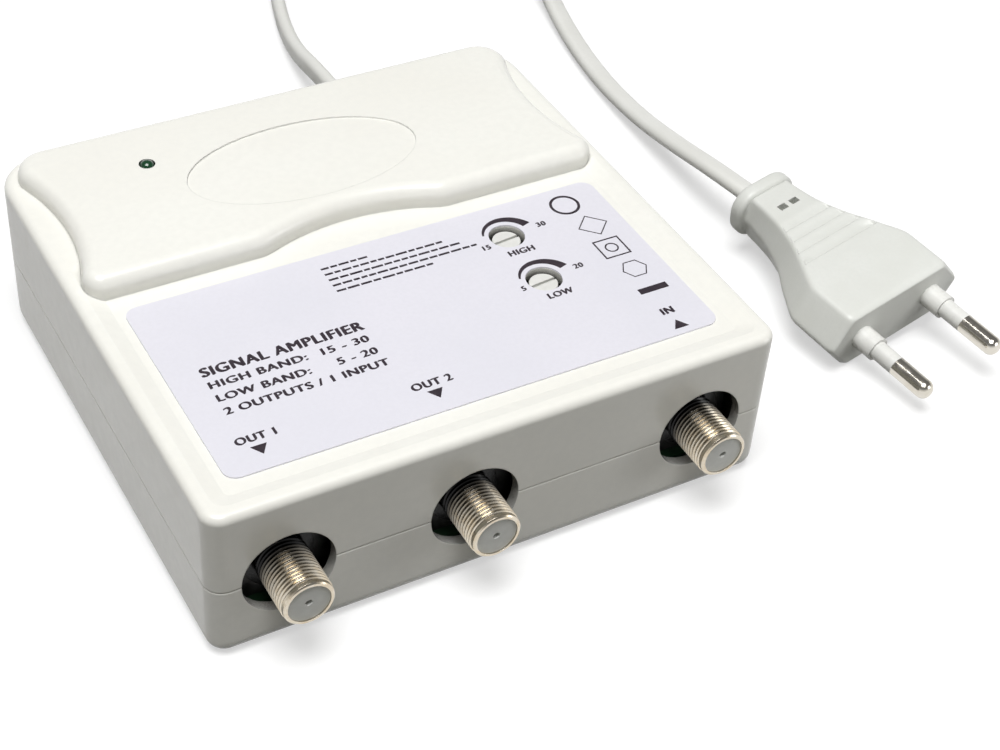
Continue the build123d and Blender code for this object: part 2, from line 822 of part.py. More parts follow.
def safety_capacitor():
    x, y = spot(*safety_capacitor_place_share)
    centre = board_top + disc_lift + safety_capacitor_radius
    disc = Rot(X=90) * Cylinder(safety_capacitor_radius, safety_capacitor_thickness)
    disc = Pos(x, y, centre) * fillet(disc.edges().filter_by(GeomType.CIRCLE), disc_edge_radius)
    for side in (-1, 1):
        disc += post((x + side * disc_lead_spacing / 2, y), (board_top, centre), axial_lead_radius)
    return disc


# Places inside the screening box, as shares of its inner width and depth
def shield_spot(share):
    x = shield_x[0] + share[0] * (shield_x[1] - shield_x[0])
    return x, shield_front + share[1] * (shield_rear - shield_front)


def board_block(share, size):
    x, y = shield_spot(share)
    return block(around(x, size[0] / 2), around(y, size[1] / 2), (board_top, board_top + size[2]))


def ferrite_cores():
    cores = []
    for share in ferrite_place_shares:
        x, y = shield_spot(share)
        bore_y = (y - core_block_size[1], y + core_block_size[1])
        core = board_block(share, core_block_size)
        for side in (-1, 1):
            bore_x = x + side * core_block_size[0] / 4
            core -= barrel(bore_x, board_top + core_block_size[2] / 2, bore_y, core_bore_radius)
        cores.append(core)
    return cores


def air_coils():
    coils = []
    for share in air_coil_place_shares:
        x, y = shield_spot(share)
        span = around(y, air_coil_length / 2)
        height = board_top + air_coil_radius
        coil = barrel(x, height, span, air_coil_radius)
        coils.append(coil - barrel(x, height, span, air_coil_bore_radius))
    return coils


def chip_components():
    shares = [(column, row) for row in chip_row_shares for column in chip_column_shares]
    return [board_block(share, chip_size) for share in shares + list(chip_amplifier_shares)]


# The flat cord stands on edge: its section is a slot shape, tall along Z
def cord_section():
    return SlotOverall(cord_width, cord_thickness)


section_area = cord_section().area


def cord_tube(path, name):
    direction = path % 0
    up = Vector(0, 0, 1) - direction * direction.Z
    plane = Plane(origin=path @ 0, x_dir=up, z_dir=direction)
    upright_guide = Pos(0, 0, cord_width) * path
    tube = sweep(plane * cord_section(), path=path, binormal=upright_guide)
    share = tube.volume / (section_area * path.length)
    print(name, "length", round(path.length, 1), "volume over section times length", round(share, 4))
    return tube


def plug_location():
    turned = Rot(Z=plug_turn)
    return Pos(*plug_face_place) * turned * Rot(X=plug_pitch) * Rot(Y=-plug_roll)


plug_place = plug_location()


def plug_point(across, behind, up):
    return (plug_place * Pos(across, behind, up)).position


# Each corner's arc takes the same share of its shorter run
def corner_radii(points, name):
    radii = []
    for before, corner, after in zip(points, points[1:], points[2:]):
        run_in = Vector(*corner) - Vector(*before)
        run_out = Vector(*after) - Vector(*corner)
        turn = math.radians(run_in.get_angle(run_out))
        radii.append(lead_arc_share * min(run_in.length, run_out.length) / math.tan(turn / 2))
    print(name, "runs", [round((Vector(*b) - Vector(*a)).length, 1) for a, b in zip(points, points[1:])])
    print(name, "radii", [round(radius, 1) for radius in radii])
    return radii


def lead_path(points, name):
    return FilletPolyline(*points, radius=corner_radii(points, name))


def cord_lead_rear():
    start = (cord_x, rear + grommet_length, cord_height)
    straight = (cord_x, rear + grommet_length + rear_lead_first_run, cord_height)
    return cord_tube(lead_path((start, straight) + rear_lead_route, "rear lead"), "rear lead")


# The lead runs a little into the plug's tail and is then cut flush with it
def cord_lead_plug():
    last_corner = plug_point(0, plug_length + plug_lead_last_run, 0)
    end = plug_point(0, plug_length - overrun, 0)
    route = plug_lead_route + (tuple(last_corner), tuple(end))
    print("plug lead ends", [round(value, 2) for value in last_corner], [round(value, 2) for value in end])
    tube = cord_tube(lead_path(route, "plug lead"), "plug lead")
    return tube - plug_place * block(around(0, plug_width), (0, plug_length), around(0, plug_width))


coil_low = tie_thickness + coil_lift + cord_width / 2
coil_high = coil_low + coil_layer_rise


# Two arcs that leave one point and reach another along given directions
def biarc(start, start_way, end, end_way):
    gap = end - start
    ways = start_way + end_way
    spread = 2 * (1 - start_way.dot(end_way))
    reach = (math.sqrt(gap.dot(ways) ** 2 + spread * gap.dot(gap)) - gap.dot(ways)) / spread
    joint = (start + end + (start_way - end_way) * reach) / 2
    joint_way = (end - end_way * reach - start - start_way * reach).normalized()
    return [Edge.make_tangent_arc(start, start_way, joint), Edge.make_tangent_arc(joint, joint_way, end)]


# Half turns that spiral in on the floor, climb in the reversing half turn and spiral out on top
def coil_edges():
    centre = Vector(coil_centre[0], coil_centre[1], 0)
    ahead, back = Vector(0, 1, 0), Vector(0, -1, 0)
    radii = [coil_outer_radius - coil_step * index for index in range(coil_half_turns + 1)]

    def side_point(side, radius, height):
        return centre + Vector(side * radius, 0, height)

    start = side_point(-1, radii[0], coil_low)
    edges = [Edge.make_line(start - ahead * coil_end_length, start)]
    side = -1
    for radius in radii[1:]:
        end = side_point(-side, radius, coil_low)
        edges.append(Edge.make_tangent_arc(start, ahead if side < 0 else back, end))
        start, side = end, -side
    inner = radii[-1]
    turning = inner - coil_step / 2
    way = ahead if side < 0 else back
    bottom = centre + way * turning + Vector(0, 0, (coil_low + coil_high) / 2)
    rise = coil_layer_rise / (math.pi * inner)
    across = Vector(-side, 0, rise).normalized()
    end = side_point(-side, inner, coil_high)
    edges += biarc(start, way, bottom, across)
    edges += biarc(bottom, across, end, -way)
    start, side = end, -side
    for radius in reversed(radii[:-1]):
        end = side_point(-side, radius, coil_high)
        edges.append(Edge.make_tangent_arc(start, ahead if side < 0 else back, end))
        start, side = end, -side
    edges.append(Edge.make_line(start, start + back * coil_end_length))
    return edges


# The least gap between stretches of the coil, from upright flat sections at points along it
def coil_self_gap(path):
    count = int(path.length / gap_check_spacing)
    points = [path @ (index / count) for index in range(count + 1)]
    apart = int(gap_check_skip / gap_check_spacing)
    stem = cord_width - cord_thickness
    least = coil_outer_radius
    for index, one in enumerate(points):
        for other in points[index + apart:]:
            flat = math.hypot(one.X - other.X, one.Y - other.Y)
            upright = max(0, abs(one.Z - other.Z) - stem)
            least = min(least, math.hypot(flat, upright) - cord_thickness)
    return least


def cord_coil():
    path = Wire(coil_edges())
    print("coil radii", coil_outer_radius, "to", round(coil_outer_radius - coil_step * coil_half_turns, 2))
    print("coil least self gap", round(coil_self_gap(path), 3))
    return cord_tube(path, "coil")


def cord_ties():
    x, y = coil_centre
    inner = coil_outer_radius - coil_step * (coil_half_turns + 1)
    ties = []
    for side in (-1, 1):
        near = y + side * (inner - cord_thickness / 2 - tie_clearance)
        far = y + side * (coil_outer_radius + cord_thickness / 2 + tie_clearance - coil_step / 2)
        inner_y = sorted((near, far))
        inner_z = (tie_thickness, coil_high + cord_width / 2 + tie_clearance)
        outer_y = (inner_y[0] - tie_thickness, inner_y[1] + tie_thickness)
        outer_z = (0, inner_z[1] + tie_thickness)
        band_x = around(x, tie_width / 2)
        ties.append(block(band_x, outer_y, outer_z) - block(band_x, inner_y, inner_z))
    return ties


def strain_relief():
    hub = barrel(cord_x, cord_height, (rear - wall, rear), grommet_neck_radius)
    inner_face = rear - wall - grommet_flange_thickness
    hub += barrel(cord_x, cord_height, (inner_face, rear - wall), grommet_flange_radius)
    collar_end = rear + grommet_collar_thickness
    hub += barrel(cord_x, cord_height, (rear, collar_end), grommet_collar_radius)
    length = grommet_length - grommet_collar_thickness
    cone = Cone(grommet_root_radius, grommet_tip_radius, length, align=bottom_align)
    hub += Pos(cord_x, collar_end, cord_height) * Rot(X=-90) * cone
    inner = grommet_root_radius - grommet_slot_depth
    for index in range(grommet_slot_count):
        y_low = collar_end + (index + 1) * grommet_slot_pitch
        slot_y = (y_low, y_low + grommet_slot_width)
        for side in (-1, 1):
            slot_x = sorted((cord_x + side * inner, cord_x + side * (grommet_root_radius + overrun)))
            hub -= block(slot_x, slot_y, around(cord_height, grommet_tip_radius - grommet_slot_width / 2))
    return hub


def cord_inner_end():
    inner_face = rear - wall - grommet_flange_thickness
    section = Plane(origin=(cord_x, inner_face, cord_height), x_dir=(0, 0, 1), z_dir=(0, -1, 0))
    return extrude(section * cord_section(), inner_face - wire_start_y)


def cord_clamp():
    x_span = around(cord_x, clamp_post_spacing + clamp_ear)
    bar = block(x_span, around(clamp_y, clamp_width / 2), (clamp_seat, clamp_seat + clamp_thickness))
    for place in clamp_post_spots:
        bar -= post(place, (clamp_seat, clamp_seat + clamp_thickness), clamp_screw_radius)
    return bar


def clamp_screws():
    size = (clamp_screw_radius, clamp_screw_length, clamp_screw_head_radius, clamp_screw_head_height)
    return [screw(place, clamp_seat + clamp_thickness, 1, *size) for place in clamp_post_spots]


def mains_wires():
    wires = []
    end_y = cord_bay_y - wire_pad_from_board_edge
    for side in (-1, 1):
        start = Vector(cord_x, wire_start_y, cord_height + side * wire_cord_offset)
        ledge = Vector(cord_x + side * wire_spread, end_y, board_top + wire_rise)
        shoulder = Vector(cord_x, (wire_start_y + cord_bay_y) / 2, start.Z)
        pad = Vector(ledge.X, ledge.Y, board_top)
        path = FilletPolyline(start, shoulder, ledge, pad, radius=wire_bend)
        section = Plane(origin=start, z_dir=path % 0) * Circle(wire_radius)
        wires.append(sweep(section, path=path))
    return wires


# The plug is built with its pins along -Y and its face at Y = 0, then laid in its place
def plug_section(station, width, flat, height):
    points = [
        (-width / 2, 0), (-flat / 2, -height / 2), (flat / 2, -height / 2),
        (width / 2, 0), (flat / 2, height / 2), (-flat / 2, height / 2),
    ]
    plane = Plane(origin=(0, station, 0), x_dir=(1, 0, 0), z_dir=(0, -1, 0))
    return plane * make_face(Polyline(*points, close=True))


def plug_body():
    shares = zip(plug_stations_share, plug_widths_share, plug_flats_share, plug_heights_share)
    sections = []
    for station, width, flat, height in shares:
        size = (width * plug_width, flat * plug_flat_width, height * plug_thickness)
        sections.append(plug_section(station * plug_length, *size))
    body = loft(sections, ruled=True)
    collar_plane = Plane(origin=(0, plug_length, 0), x_dir=(1, 0, 0), z_dir=(0, -1, 0))
    collar = collar_plane * RectangleRounded(plug_collar_width, plug_collar_height, plug_collar_corner)
    collar = extrude(collar, plug_collar_length)
    body += fillet(collar.edges().group_by(Axis.Y)[-1], plug_collar_edge)
    for index in range(grip_count):
        station = grip_first + index * grip_pitch
        reach = plug_flat_width * grip_length_share / 2
        for side in (-1, 1):
            depth = sorted((side * (plug_thickness / 2 - grip_depth), side * plug_thickness))
            body -= block(around(0, reach), (station, station + grip_width), depth)
    for side in (-1, 1):
        body -= barrel(side * pin_spacing / 2, 0, (-overrun, pin_depth), pin_core_radius)
    return plug_place * body


def pin_sleeves():
    sleeves = []
    for side in (-1, 1):
        x = side * pin_spacing / 2
        sleeve = barrel(x, 0, (-pin_sleeve_length, 0), pin_radius)
        sleeve += barrel(x, 0, (-pin_root_length, 0), pin_root_radius)
        sleeves.append(plug_place * (sleeve - barrel(x, 0, (-pin_sleeve_length, 0), pin_core_radius)))
    return sleeves


def plug_pins():
    pins = []
    for side in (-1, 1):
        x = side * pin_spacing / 2
        pin = barrel(x, 0, (-pin_length, -pin_sleeve_length), pin_radius)
        pin = fillet(pin.edges().group_by(Axis.Y)[0], pin_tip_radius)
        pins.append(plug_place * (pin + barrel(x, 0, (-pin_sleeve_length, pin_depth), pin_core_radius)))
    return pins


save("bottom_case", bottom_case())
save("top_cover", top_cover())
save("label_plate", label_plate())
save("case_screws", *case_screws())
save("board_screws", *board_screws())
save("circuit_board", circuit_board())
for socket, x in zip(socket_names, socket_x):
    save(f"{socket}_connector", socket_shell(x))
    save(f"{socket}_insulator", socket_insulator(x))
    save(f"{socket}_contact", socket_contact(x))
save("shield_frame", shield_frame())
save("shield_partition", shield_partition())
save("shield_lid", shield_lid())
for band, place in zip(trimmer_names, trimmer_spots):
    save(f"{band}_trimmer_body", trimmer_body(place))
    save(f"{band}_trimmer_shaft", trimmer_shaft(place))
save("led_lens", led_lens())
save("led_spacer", led_spacer())
save("led_leads", *led_leads())
save("transformer_core", transformer_core())
save("transformer_bobbin", transformer_bobbin())
save("transformer_winding", transformer_winding())
bulk_spot = spot(*bulk_capacitor_place_share)
save("bulk_capacitor", can_capacitor(bulk_spot, bulk_capacitor_radius, bulk_capacitor_height))
output_size = (output_capacitor_radius, output_capacitor_height)
output_spots = [spot(*share) for share in output_capacitor_place_shares]
save("output_capacitors", *[can_capacitor(place, *output_size) for place in output_spots])
save("fuse_resistor", axial_part(spot(*fuse_place_share), fuse_radius, fuse_length, True))
diode_size = (diode_radius, diode_length)
diode_spots = [spot(share, diode_row_depth_share) for share in diode_row_shares]
diode_spots.append(spot(*output_diode_place_share))
save("rectifier_diodes", *[axial_part(place, *diode_size, False) for place in diode_spots])
save("input_choke", input_choke())
save("power_chip", legged_chip(power_chip_place_share, power_chip_size, power_chip_legs))
save("optocoupler", legged_chip(coupler_place_share, coupler_size, coupler_legs))
save("safety_capacitor", safety_capacitor())
save("transistors", *[board_block(share, transistor_size) for share in transistor_place_shares])
save("ferrite_cores", *ferrite_cores())
save("air_coils", *air_coils())
save("chip_components", *chip_components())
save("strain_relief", strain_relief())
save("cord_inner_end", cord_inner_end())
save("cord_clamp", cord_clamp())
save("clamp_screws", *clamp_screws())
save("mains_wires", *mains_wires())
save("cord_lead_rear", cord_lead_rear())
save("cord_coil", cord_coil())
save("cord_ties", *cord_ties())
save("cord_lead_plug", cord_lead_plug())
save("plug_body", plug_body())
save("pin_sleeves", *pin_sleeves())
save("plug_pins", *plug_pins())
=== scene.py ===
import json
import math
import random

import bmesh
import bpy
from mathutils import Matrix, Vector


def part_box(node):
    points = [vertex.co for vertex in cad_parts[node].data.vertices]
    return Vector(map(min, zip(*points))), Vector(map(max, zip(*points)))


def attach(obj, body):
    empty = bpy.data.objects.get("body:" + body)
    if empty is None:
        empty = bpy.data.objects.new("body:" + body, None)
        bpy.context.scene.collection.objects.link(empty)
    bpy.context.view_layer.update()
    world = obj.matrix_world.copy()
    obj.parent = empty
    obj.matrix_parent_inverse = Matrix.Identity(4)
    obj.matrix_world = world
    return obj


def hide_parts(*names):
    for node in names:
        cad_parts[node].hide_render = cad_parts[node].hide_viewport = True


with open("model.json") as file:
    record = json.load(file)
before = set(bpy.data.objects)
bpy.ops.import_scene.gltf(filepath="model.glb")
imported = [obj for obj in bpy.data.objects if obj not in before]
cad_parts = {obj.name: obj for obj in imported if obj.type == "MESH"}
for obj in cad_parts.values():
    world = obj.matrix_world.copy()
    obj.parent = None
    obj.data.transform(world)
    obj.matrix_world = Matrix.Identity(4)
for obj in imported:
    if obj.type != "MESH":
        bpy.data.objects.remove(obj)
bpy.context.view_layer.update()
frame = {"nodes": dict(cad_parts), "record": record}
scene = bpy.context.scene
scene.view_settings.view_transform = "Standard"
mm = 0.001
random.seed(7)
print("frame loaded:", len(frame["nodes"]), "nodes")

# Same place as the photograph was taken from; the turn is about the vertical, seen from above
cameraView = {
    "place": (-0.130269, -0.251294, 0.254499),
    "turn": -32.103,
    "rise": 41.314,
    "roll": 4.689,
    "lens": 70.48,
    "sensor": 36.0,
    "nearest": 0.01,
}


def addCamera(view):
    turn, rise, roll = (math.radians(view[name]) for name in ("turn", "rise", "roll"))
    back = Vector((math.sin(turn) * math.cos(rise), -math.cos(turn) * math.cos(rise), math.sin(rise)))
    level = Vector((math.cos(turn), math.sin(turn), 0))
    upright = back.cross(level)
    across = level * math.cos(roll) + upright * math.sin(roll)
    up = upright * math.cos(roll) - level * math.sin(roll)
    lens = bpy.data.cameras.new("photoCamera")
    lens.lens = view["lens"]
    lens.sensor_width = view["sensor"]
    lens.clip_start = view["nearest"]
    camera = bpy.data.objects.new("photoCamera", lens)
    turned = Matrix((across, up, back)).transposed().to_4x4()
    camera.matrix_world = Matrix.Translation(view["place"]) @ turned
    scene.collection.objects.link(camera)
    scene.camera = camera


addCamera(cameraView)
print("camera set")

# The flat mains cord, on edge in its tied coil and turned flat where it runs on to the plug
cordValues = {
    "width": 5.0,
    "thickness": 3.1,
    "length": 1.165,
    "sectionSteps": 9,
    "curveSteps": 6,
    "fromGrommet": ((31.0, 78.95, 9.0), (31.0, 93.0, 9.0), (33.0, 112.0, 4.2), (37.8, 131.0, 2.6),
                    (44.5, 149.5, 3.35), (44.5, 163.0, 3.35)),
    "toPlug": ((107.5, 163.0, 9.0), (107.5, 143.5, 9.0), (104.6, 121.0, 4.7), (99.2, 98.0, 2.2),
               (95.6, 76.0, 2.0), (93.9, 56.0, 3.6), (92.6, 37.5, 7.4), (91.9, 20.85, 11.3),
               (93.83, 8.51, 11.26)),
    "flatTilt": 82.0,
    "pointsToFlat": 3,
    "coilCentre": (76.0, 168.0),
    "coilRadius": 31.5,
    "coilStep": 1.85,
    "halfTurns": 5,  # in each of the two layers
    "lowLayer": 3.35,
    "highLayer": 9.0,
    "pointsPerHalfTurn": 12,
}


def coilPoints(values):
    turns, count = values["halfTurns"], values["pointsPerHalfTurn"]
    centreX, centreY = values["coilCentre"]
    radii = [values["coilRadius"] - values["coilStep"] * index for index in range(turns + 1)]
    low, high = values["lowLayer"], values["highLayer"]
    climb = [(radii[-1], radii[-1], low, high)]
    inward = [(a, b, low, low) for a, b in zip(radii, radii[1:])]
    outward = [(b, a, high, high) for a, b in zip(radii, radii[1:])][::-1]
    outside = 1 / math.cos(math.pi / count / 2)  # control points lie just outside the arc
    points, side = [], -1
    for first, last, start, end in inward + climb + outward:
        radius = (first + last) / 2
        middle = centreX + side * (first - last) / 2
        for index in range(count):
            share = index / count
            angle = math.pi * share
            squeeze = values["coilStep"] / 2 * math.sin(angle) if start < end else 0  # on the climb
            reach = (radius - squeeze) * outside
            points.append((middle + side * reach * math.cos(angle),
                           centreY - side * reach * math.sin(angle),
                           start + (end - start) * share))
        side = -side
    points.append((centreX + side * radii[0] * outside, centreY, high))
    return points


def cordSection(values):
    section = bpy.data.curves.new("cordSection", "CURVE")
    section.dimensions = "2D"
    line = section.splines.new("POLY")
    half, straight = values["thickness"] / 2, (values["width"] - values["thickness"]) / 2
    steps = values["sectionSteps"]
    rim = []
    for end in (1, -1):
        for index in range(steps + 1):
            angle = math.pi * index / steps
            rim.append((end * half * math.cos(angle), end * (straight + half * math.sin(angle))))
    line.points.add(len(rim) - 1)
    for point, (x, y) in zip(line.points, rim):
        point.co = (x, y, 0, 1)
    line.use_cyclic_u = True
    shape = bpy.data.objects.new("cordSection", section)
    scene.collection.objects.link(shape)
    shape.hide_render = True
    shape.hide_viewport = True
    return shape


def makeCord(values):
    curve = bpy.data.curves.new("mainsCord", "CURVE")
    curve.dimensions = "3D"
    curve.twist_mode = "Z_UP"
    curve.bevel_mode = "OBJECT"
    curve.bevel_object = cordSection(values)
    curve.use_fill_caps = True
    curve.resolution_u = values["curveSteps"]
    points = list(values["fromGrommet"]) + coilPoints(values) + list(values["toPlug"])
    line = curve.splines.new("NURBS")
    line.points.add(len(points) - 1)
    turning = len(points) - len(values["toPlug"])
    for index, (point, (x, y, z)) in enumerate(zip(line.points, points)):
        point.co = (x * mm, y * mm, z * mm, 1)
        point.radius = mm  # the section is drawn in millimetres
        flat = min(max((index - turning) / values["pointsToFlat"], 0), 1)
        point.tilt = math.radians(values["flatTilt"]) * flat
    line.order_u = 3
    line.use_endpoint_u = True
    line.use_smooth = True
    cord = bpy.data.objects.new("mainsCord", curve)
    scene.collection.objects.link(cord)
    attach(cord, "case")
    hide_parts("cord_lead_rear", "cord_coil", "cord_lead_plug")
    return cord


mainsCord = makeCord(cordValues)
print("cord laid")


def finishMesh(name, mesh, body="case"):
    piece = bpy.data.objects.new(name, mesh)
    scene.collection.objects.link(piece)
    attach(piece, body)
    return piece


# The plug, in millimetres, drawn with its pins along -Y and its face at Y = 0, then laid in its place
plugValues = {
    "place": (99.8, -31.95, 8.4),
    "turn": 8.4,
    "pitch": 4.0,
    "roll": -7.7,
    "length": 42.0,
    "stations": (0.0, 1.26, 10.5, 17.2, 24.4, 31.9, 38.6),
    "widths": (34.4, 35.4, 35.4, 29.4, 20.5, 14.9, 12.9),
    "flats": (25.0, 26.0, 26.0, 20.8, 14.6, 10.9, 9.9),
    "heights": (12.8, 13.6, 13.6, 13.5, 12.7, 11.7, 11.2),
    "cornerRound": 0.9,
    "faceEdge": 0.35,
    "faceSteps": 4,
    "firstRing": 1.0,
    "ringStep": 0.9,
    "ringCount": 41,
    "sharpAngle": 32.0,
    "collarWidth": 15.6,
    "collarHeight": 12.2,
    "collarCorner": 5.2,
    "collarEdge": 1.1,
    "collarSteps": 6,
    "neckRun": 0.5,
    "neckSteps": 4,
    "gripStations": (17.0, 20.2, 23.4, 26.6),
    "gripDepth": 0.6,
    "gripRun": 2.6,
    "gripStepRun": 0.02,
    "gripShoulder": 0.15,
    "gripWithin": 0.47,  # share of the width and height, each way from the middle
    "slotStation": 32.7,
    "slotSize": (2.0, 1.5, 2.6),
    "slotOffset": 1.55,
}


def plugMatrix(values):
    turn, pitch, roll = (math.radians(values[name]) for name in ("turn", "pitch", "roll"))
    turned = (Matrix.Rotation(turn, 4, "Z") @ Matrix.Rotation(pitch, 4, "X")
              @ Matrix.Rotation(roll, 4, "Y"))
    return Matrix.Translation(Vector(values["place"]) * mm) @ turned


def smoothValue(stations, numbers, place):
    # reads a smooth curve through the given numbers, with no bumps between the stations
    for index in range(len(stations) - 1):
        if place <= stations[index + 1]:
            break
    low, high = stations[index], stations[index + 1]
    share = (place - low) / (high - low)

    def slope(at):
        if at in (0, len(stations) - 1):
            return 0
        before = (numbers[at] - numbers[at - 1]) / (stations[at] - stations[at - 1])
        after = (numbers[at + 1] - numbers[at]) / (stations[at + 1] - stations[at])
        return 0 if before * after <= 0 else 2 * before * after / (before + after)

    run = high - low
    start, end = numbers[index], numbers[index + 1]
    square, cube = share ** 2, share ** 3
    return (start * (2 * cube - 3 * square + 1) + slope(index) * run * (cube - 2 * square + share)
            + end * (3 * square - 2 * cube) + slope(index + 1) * run * (cube - square))


def roundedRing(corners, rounding, edgePoints=7, arcPoints=5, mostOfEdge=0.45):
    ring = []
    count = len(corners)
    for index in range(count):
        before, corner, after = (Vector(corners[(index + step) % count]) for step in (-1, 0, 1))
        reachIn = min(rounding, (before - corner).length * mostOfEdge)
        reachOut = min(rounding, (after - corner).length * mostOfEdge)
        start = corner + (before - corner).normalized() * reachIn
        end = corner + (after - corner).normalized() * reachOut
        for step in range(arcPoints + 1):
            share = step / arcPoints
            ring.append((1 - share) ** 2 * start + 2 * share * (1 - share) * corner + share ** 2 * end)
        nextStart = after + (corner - after).normalized() * reachOut
        for step in range(1, edgePoints):
            ring.append(end.lerp(nextStart, step / edgePoints))
    return ring


def hexagonRing(width, flat, height, rounding):
    corners = [(width / 2, 0), (flat / 2, height / 2), (-flat / 2, height / 2),
               (-width / 2, 0), (-flat / 2, -height / 2), (flat / 2, -height / 2)]
    return roundedRing(corners, rounding)


def collarRing(guide, values, inset, leastCorner=0.1, halvings=24):
    # pushes each point of the guide ring out to a round-cornered rectangle, along its own angle
    ring = []
    half = Vector((values["collarWidth"] / 2 - inset, values["collarHeight"] / 2 - inset))
    radius = max(values["collarCorner"] - inset, leastCorner)
    core = Vector((half.x - radius, half.y - radius))
    for point in guide:
        way = Vector((point.x / half.x, point.y / half.y)).normalized()
        way = Vector((way.x * half.x, way.y * half.y)).normalized()
        low, high = 0, half.x + half.y
        for _ in range(halvings):
            middle = (low + high) / 2
            at = way * middle
            out = Vector((max(abs(at.x) - core.x, 0), max(abs(at.y) - core.y, 0)))
            low, high = (middle, high) if out.length < radius else (low, middle)
        ring.append(way * low)
    return ring


def gripDrop(values, place):
    for start in values["gripStations"]:
        if start <= place < start + values["gripRun"]:
            return values["gripDepth"] * (1 - (place - start) / values["gripRun"])
    return 0


def quarterTurn(count):
    return [math.pi / 2 * step / count for step in range(count + 1)]


def bodyRings(values):
    edge, near, within = values["faceEdge"], values["gripStepRun"], values["gripWithin"]
    places = [edge * (1 - math.cos(angle)) for angle in quarterTurn(values["faceSteps"])]
    places += [values["firstRing"] + index * values["ringStep"] for index in range(values["ringCount"])]
    for start in values["gripStations"]:
        end = start + values["gripRun"]
        places += [start - near, start + near, start + values["gripShoulder"], end - near]
    rings = []
    for place in sorted(places):
        width, flat, height = (smoothValue(values["stations"], values[name], place)
                               for name in ("widths", "flats", "heights"))
        inset = edge - math.sqrt(max(edge ** 2 - (edge - place) ** 2, 0)) if place < edge else 0
        sizes = (size - 2 * inset for size in (width, flat, height))
        drop = gripDrop(values, place)
        lowered = []
        for point in hexagonRing(*sizes, values["cornerRound"]):
            onFlat = abs(point.y) > height * within and abs(point.x) < flat * within
            sunk = point.y - math.copysign(drop, point.y) if onFlat else point.y
            lowered.append((point.x, place, sunk))
        rings.append(lowered)
    return rings


def collarRings(values):
    # out of the body's end by a short hollow neck, then round both edges of the collar
    lastSize = [values[name][-1] for name in ("widths", "flats", "heights")]
    guide = hexagonRing(*lastSize, values["cornerRound"])
    edge, run = values["collarEdge"], values["neckRun"]
    front, end = values["stations"][-1], values["length"]
    foot = collarRing(guide, values, edge)
    rings = [(guide, front - 2 * run)]
    for angle in quarterTurn(values["neckSteps"])[1:]:
        grown = [a.lerp(b, 1 - math.cos(angle)) for a, b in zip(guide, foot)]
        rings.append((grown, front - run * (1 - math.sin(angle))))
    for angle in quarterTurn(values["collarSteps"])[1:]:
        ring = collarRing(guide, values, edge * (1 - math.sin(angle)))
        rings.append((ring, front + edge * (1 - math.cos(angle))))
    for angle in quarterTurn(values["collarSteps"]):
        ring = collarRing(guide, values, edge * (1 - math.cos(angle)))
        rings.append((ring, end - edge * (1 - math.sin(angle))))
    return [[(point.x, place, point.y) for point in ring] for ring, place in rings]


def ringMesh(name, rings):
    shape = bmesh.new()
    loops = [[shape.verts.new(Vector(point) * mm) for point in ring] for ring in rings]
    count = len(loops[0])
    for near, far in zip(loops, loops[1:]):
        for index in range(count):
            after = (index + 1) % count
            shape.faces.new((near[index], near[after], far[after], far[index]))
    shape.faces.new(loops[0][::-1])
    shape.faces.new(loops[-1])
    bmesh.ops.recalc_face_normals(shape, faces=shape.faces)
    for face in shape.faces:
        face.smooth = True
    mesh = bpy.data.meshes.new(name)
    shape.to_mesh(mesh)
    shape.free()
    return mesh


def addBox(shape, centre, size):
    made = bmesh.ops.create_cube(shape, size=1)["verts"]
    bmesh.ops.scale(shape, vec=Vector(size) * mm, verts=made)
    bmesh.ops.translate(shape, vec=Vector(centre) * mm, verts=made)


def makePlug(values):
    rings = bodyRings(values) + collarRings(values)
    body = bpy.data.objects.new("plugBody", ringMesh("plugBody", rings))
    scene.collection.objects.link(body)
    cutter = bmesh.new()
    height = smoothValue(values["stations"], values["heights"], values["slotStation"])
    across, along, deep = values["slotSize"]
    for side in (-1, 1):
        for face in (-1, 1):
            centre = (side * values["slotOffset"], values["slotStation"], face * height / 2)
            addBox(cutter, centre, (across, along, 2 * deep))
    mesh = bpy.data.meshes.new("plugSlots")
    cutter.to_mesh(mesh)
    cutter.free()
    slots = bpy.data.objects.new("plugSlots", mesh)
    scene.collection.objects.link(slots)
    cut = body.modifiers.new("slots", "BOOLEAN")
    cut.operation = "DIFFERENCE"
    cut.object = slots
    cut.solver = "EXACT"
    seen = body.evaluated_get(bpy.context.evaluated_depsgraph_get())
    cutMesh = bpy.data.meshes.new_from_object(seen)
    body.modifiers.clear()
    body.data = cutMesh
    bpy.data.objects.remove(slots)
    body.data.transform(plugMatrix(values))
    body.data.set_sharp_from_angle(angle=math.radians(values["sharpAngle"]))
    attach(body, "case")
    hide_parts("plug_body")
    return body


plugBody = makePlug(plugValues)
print("plug made")

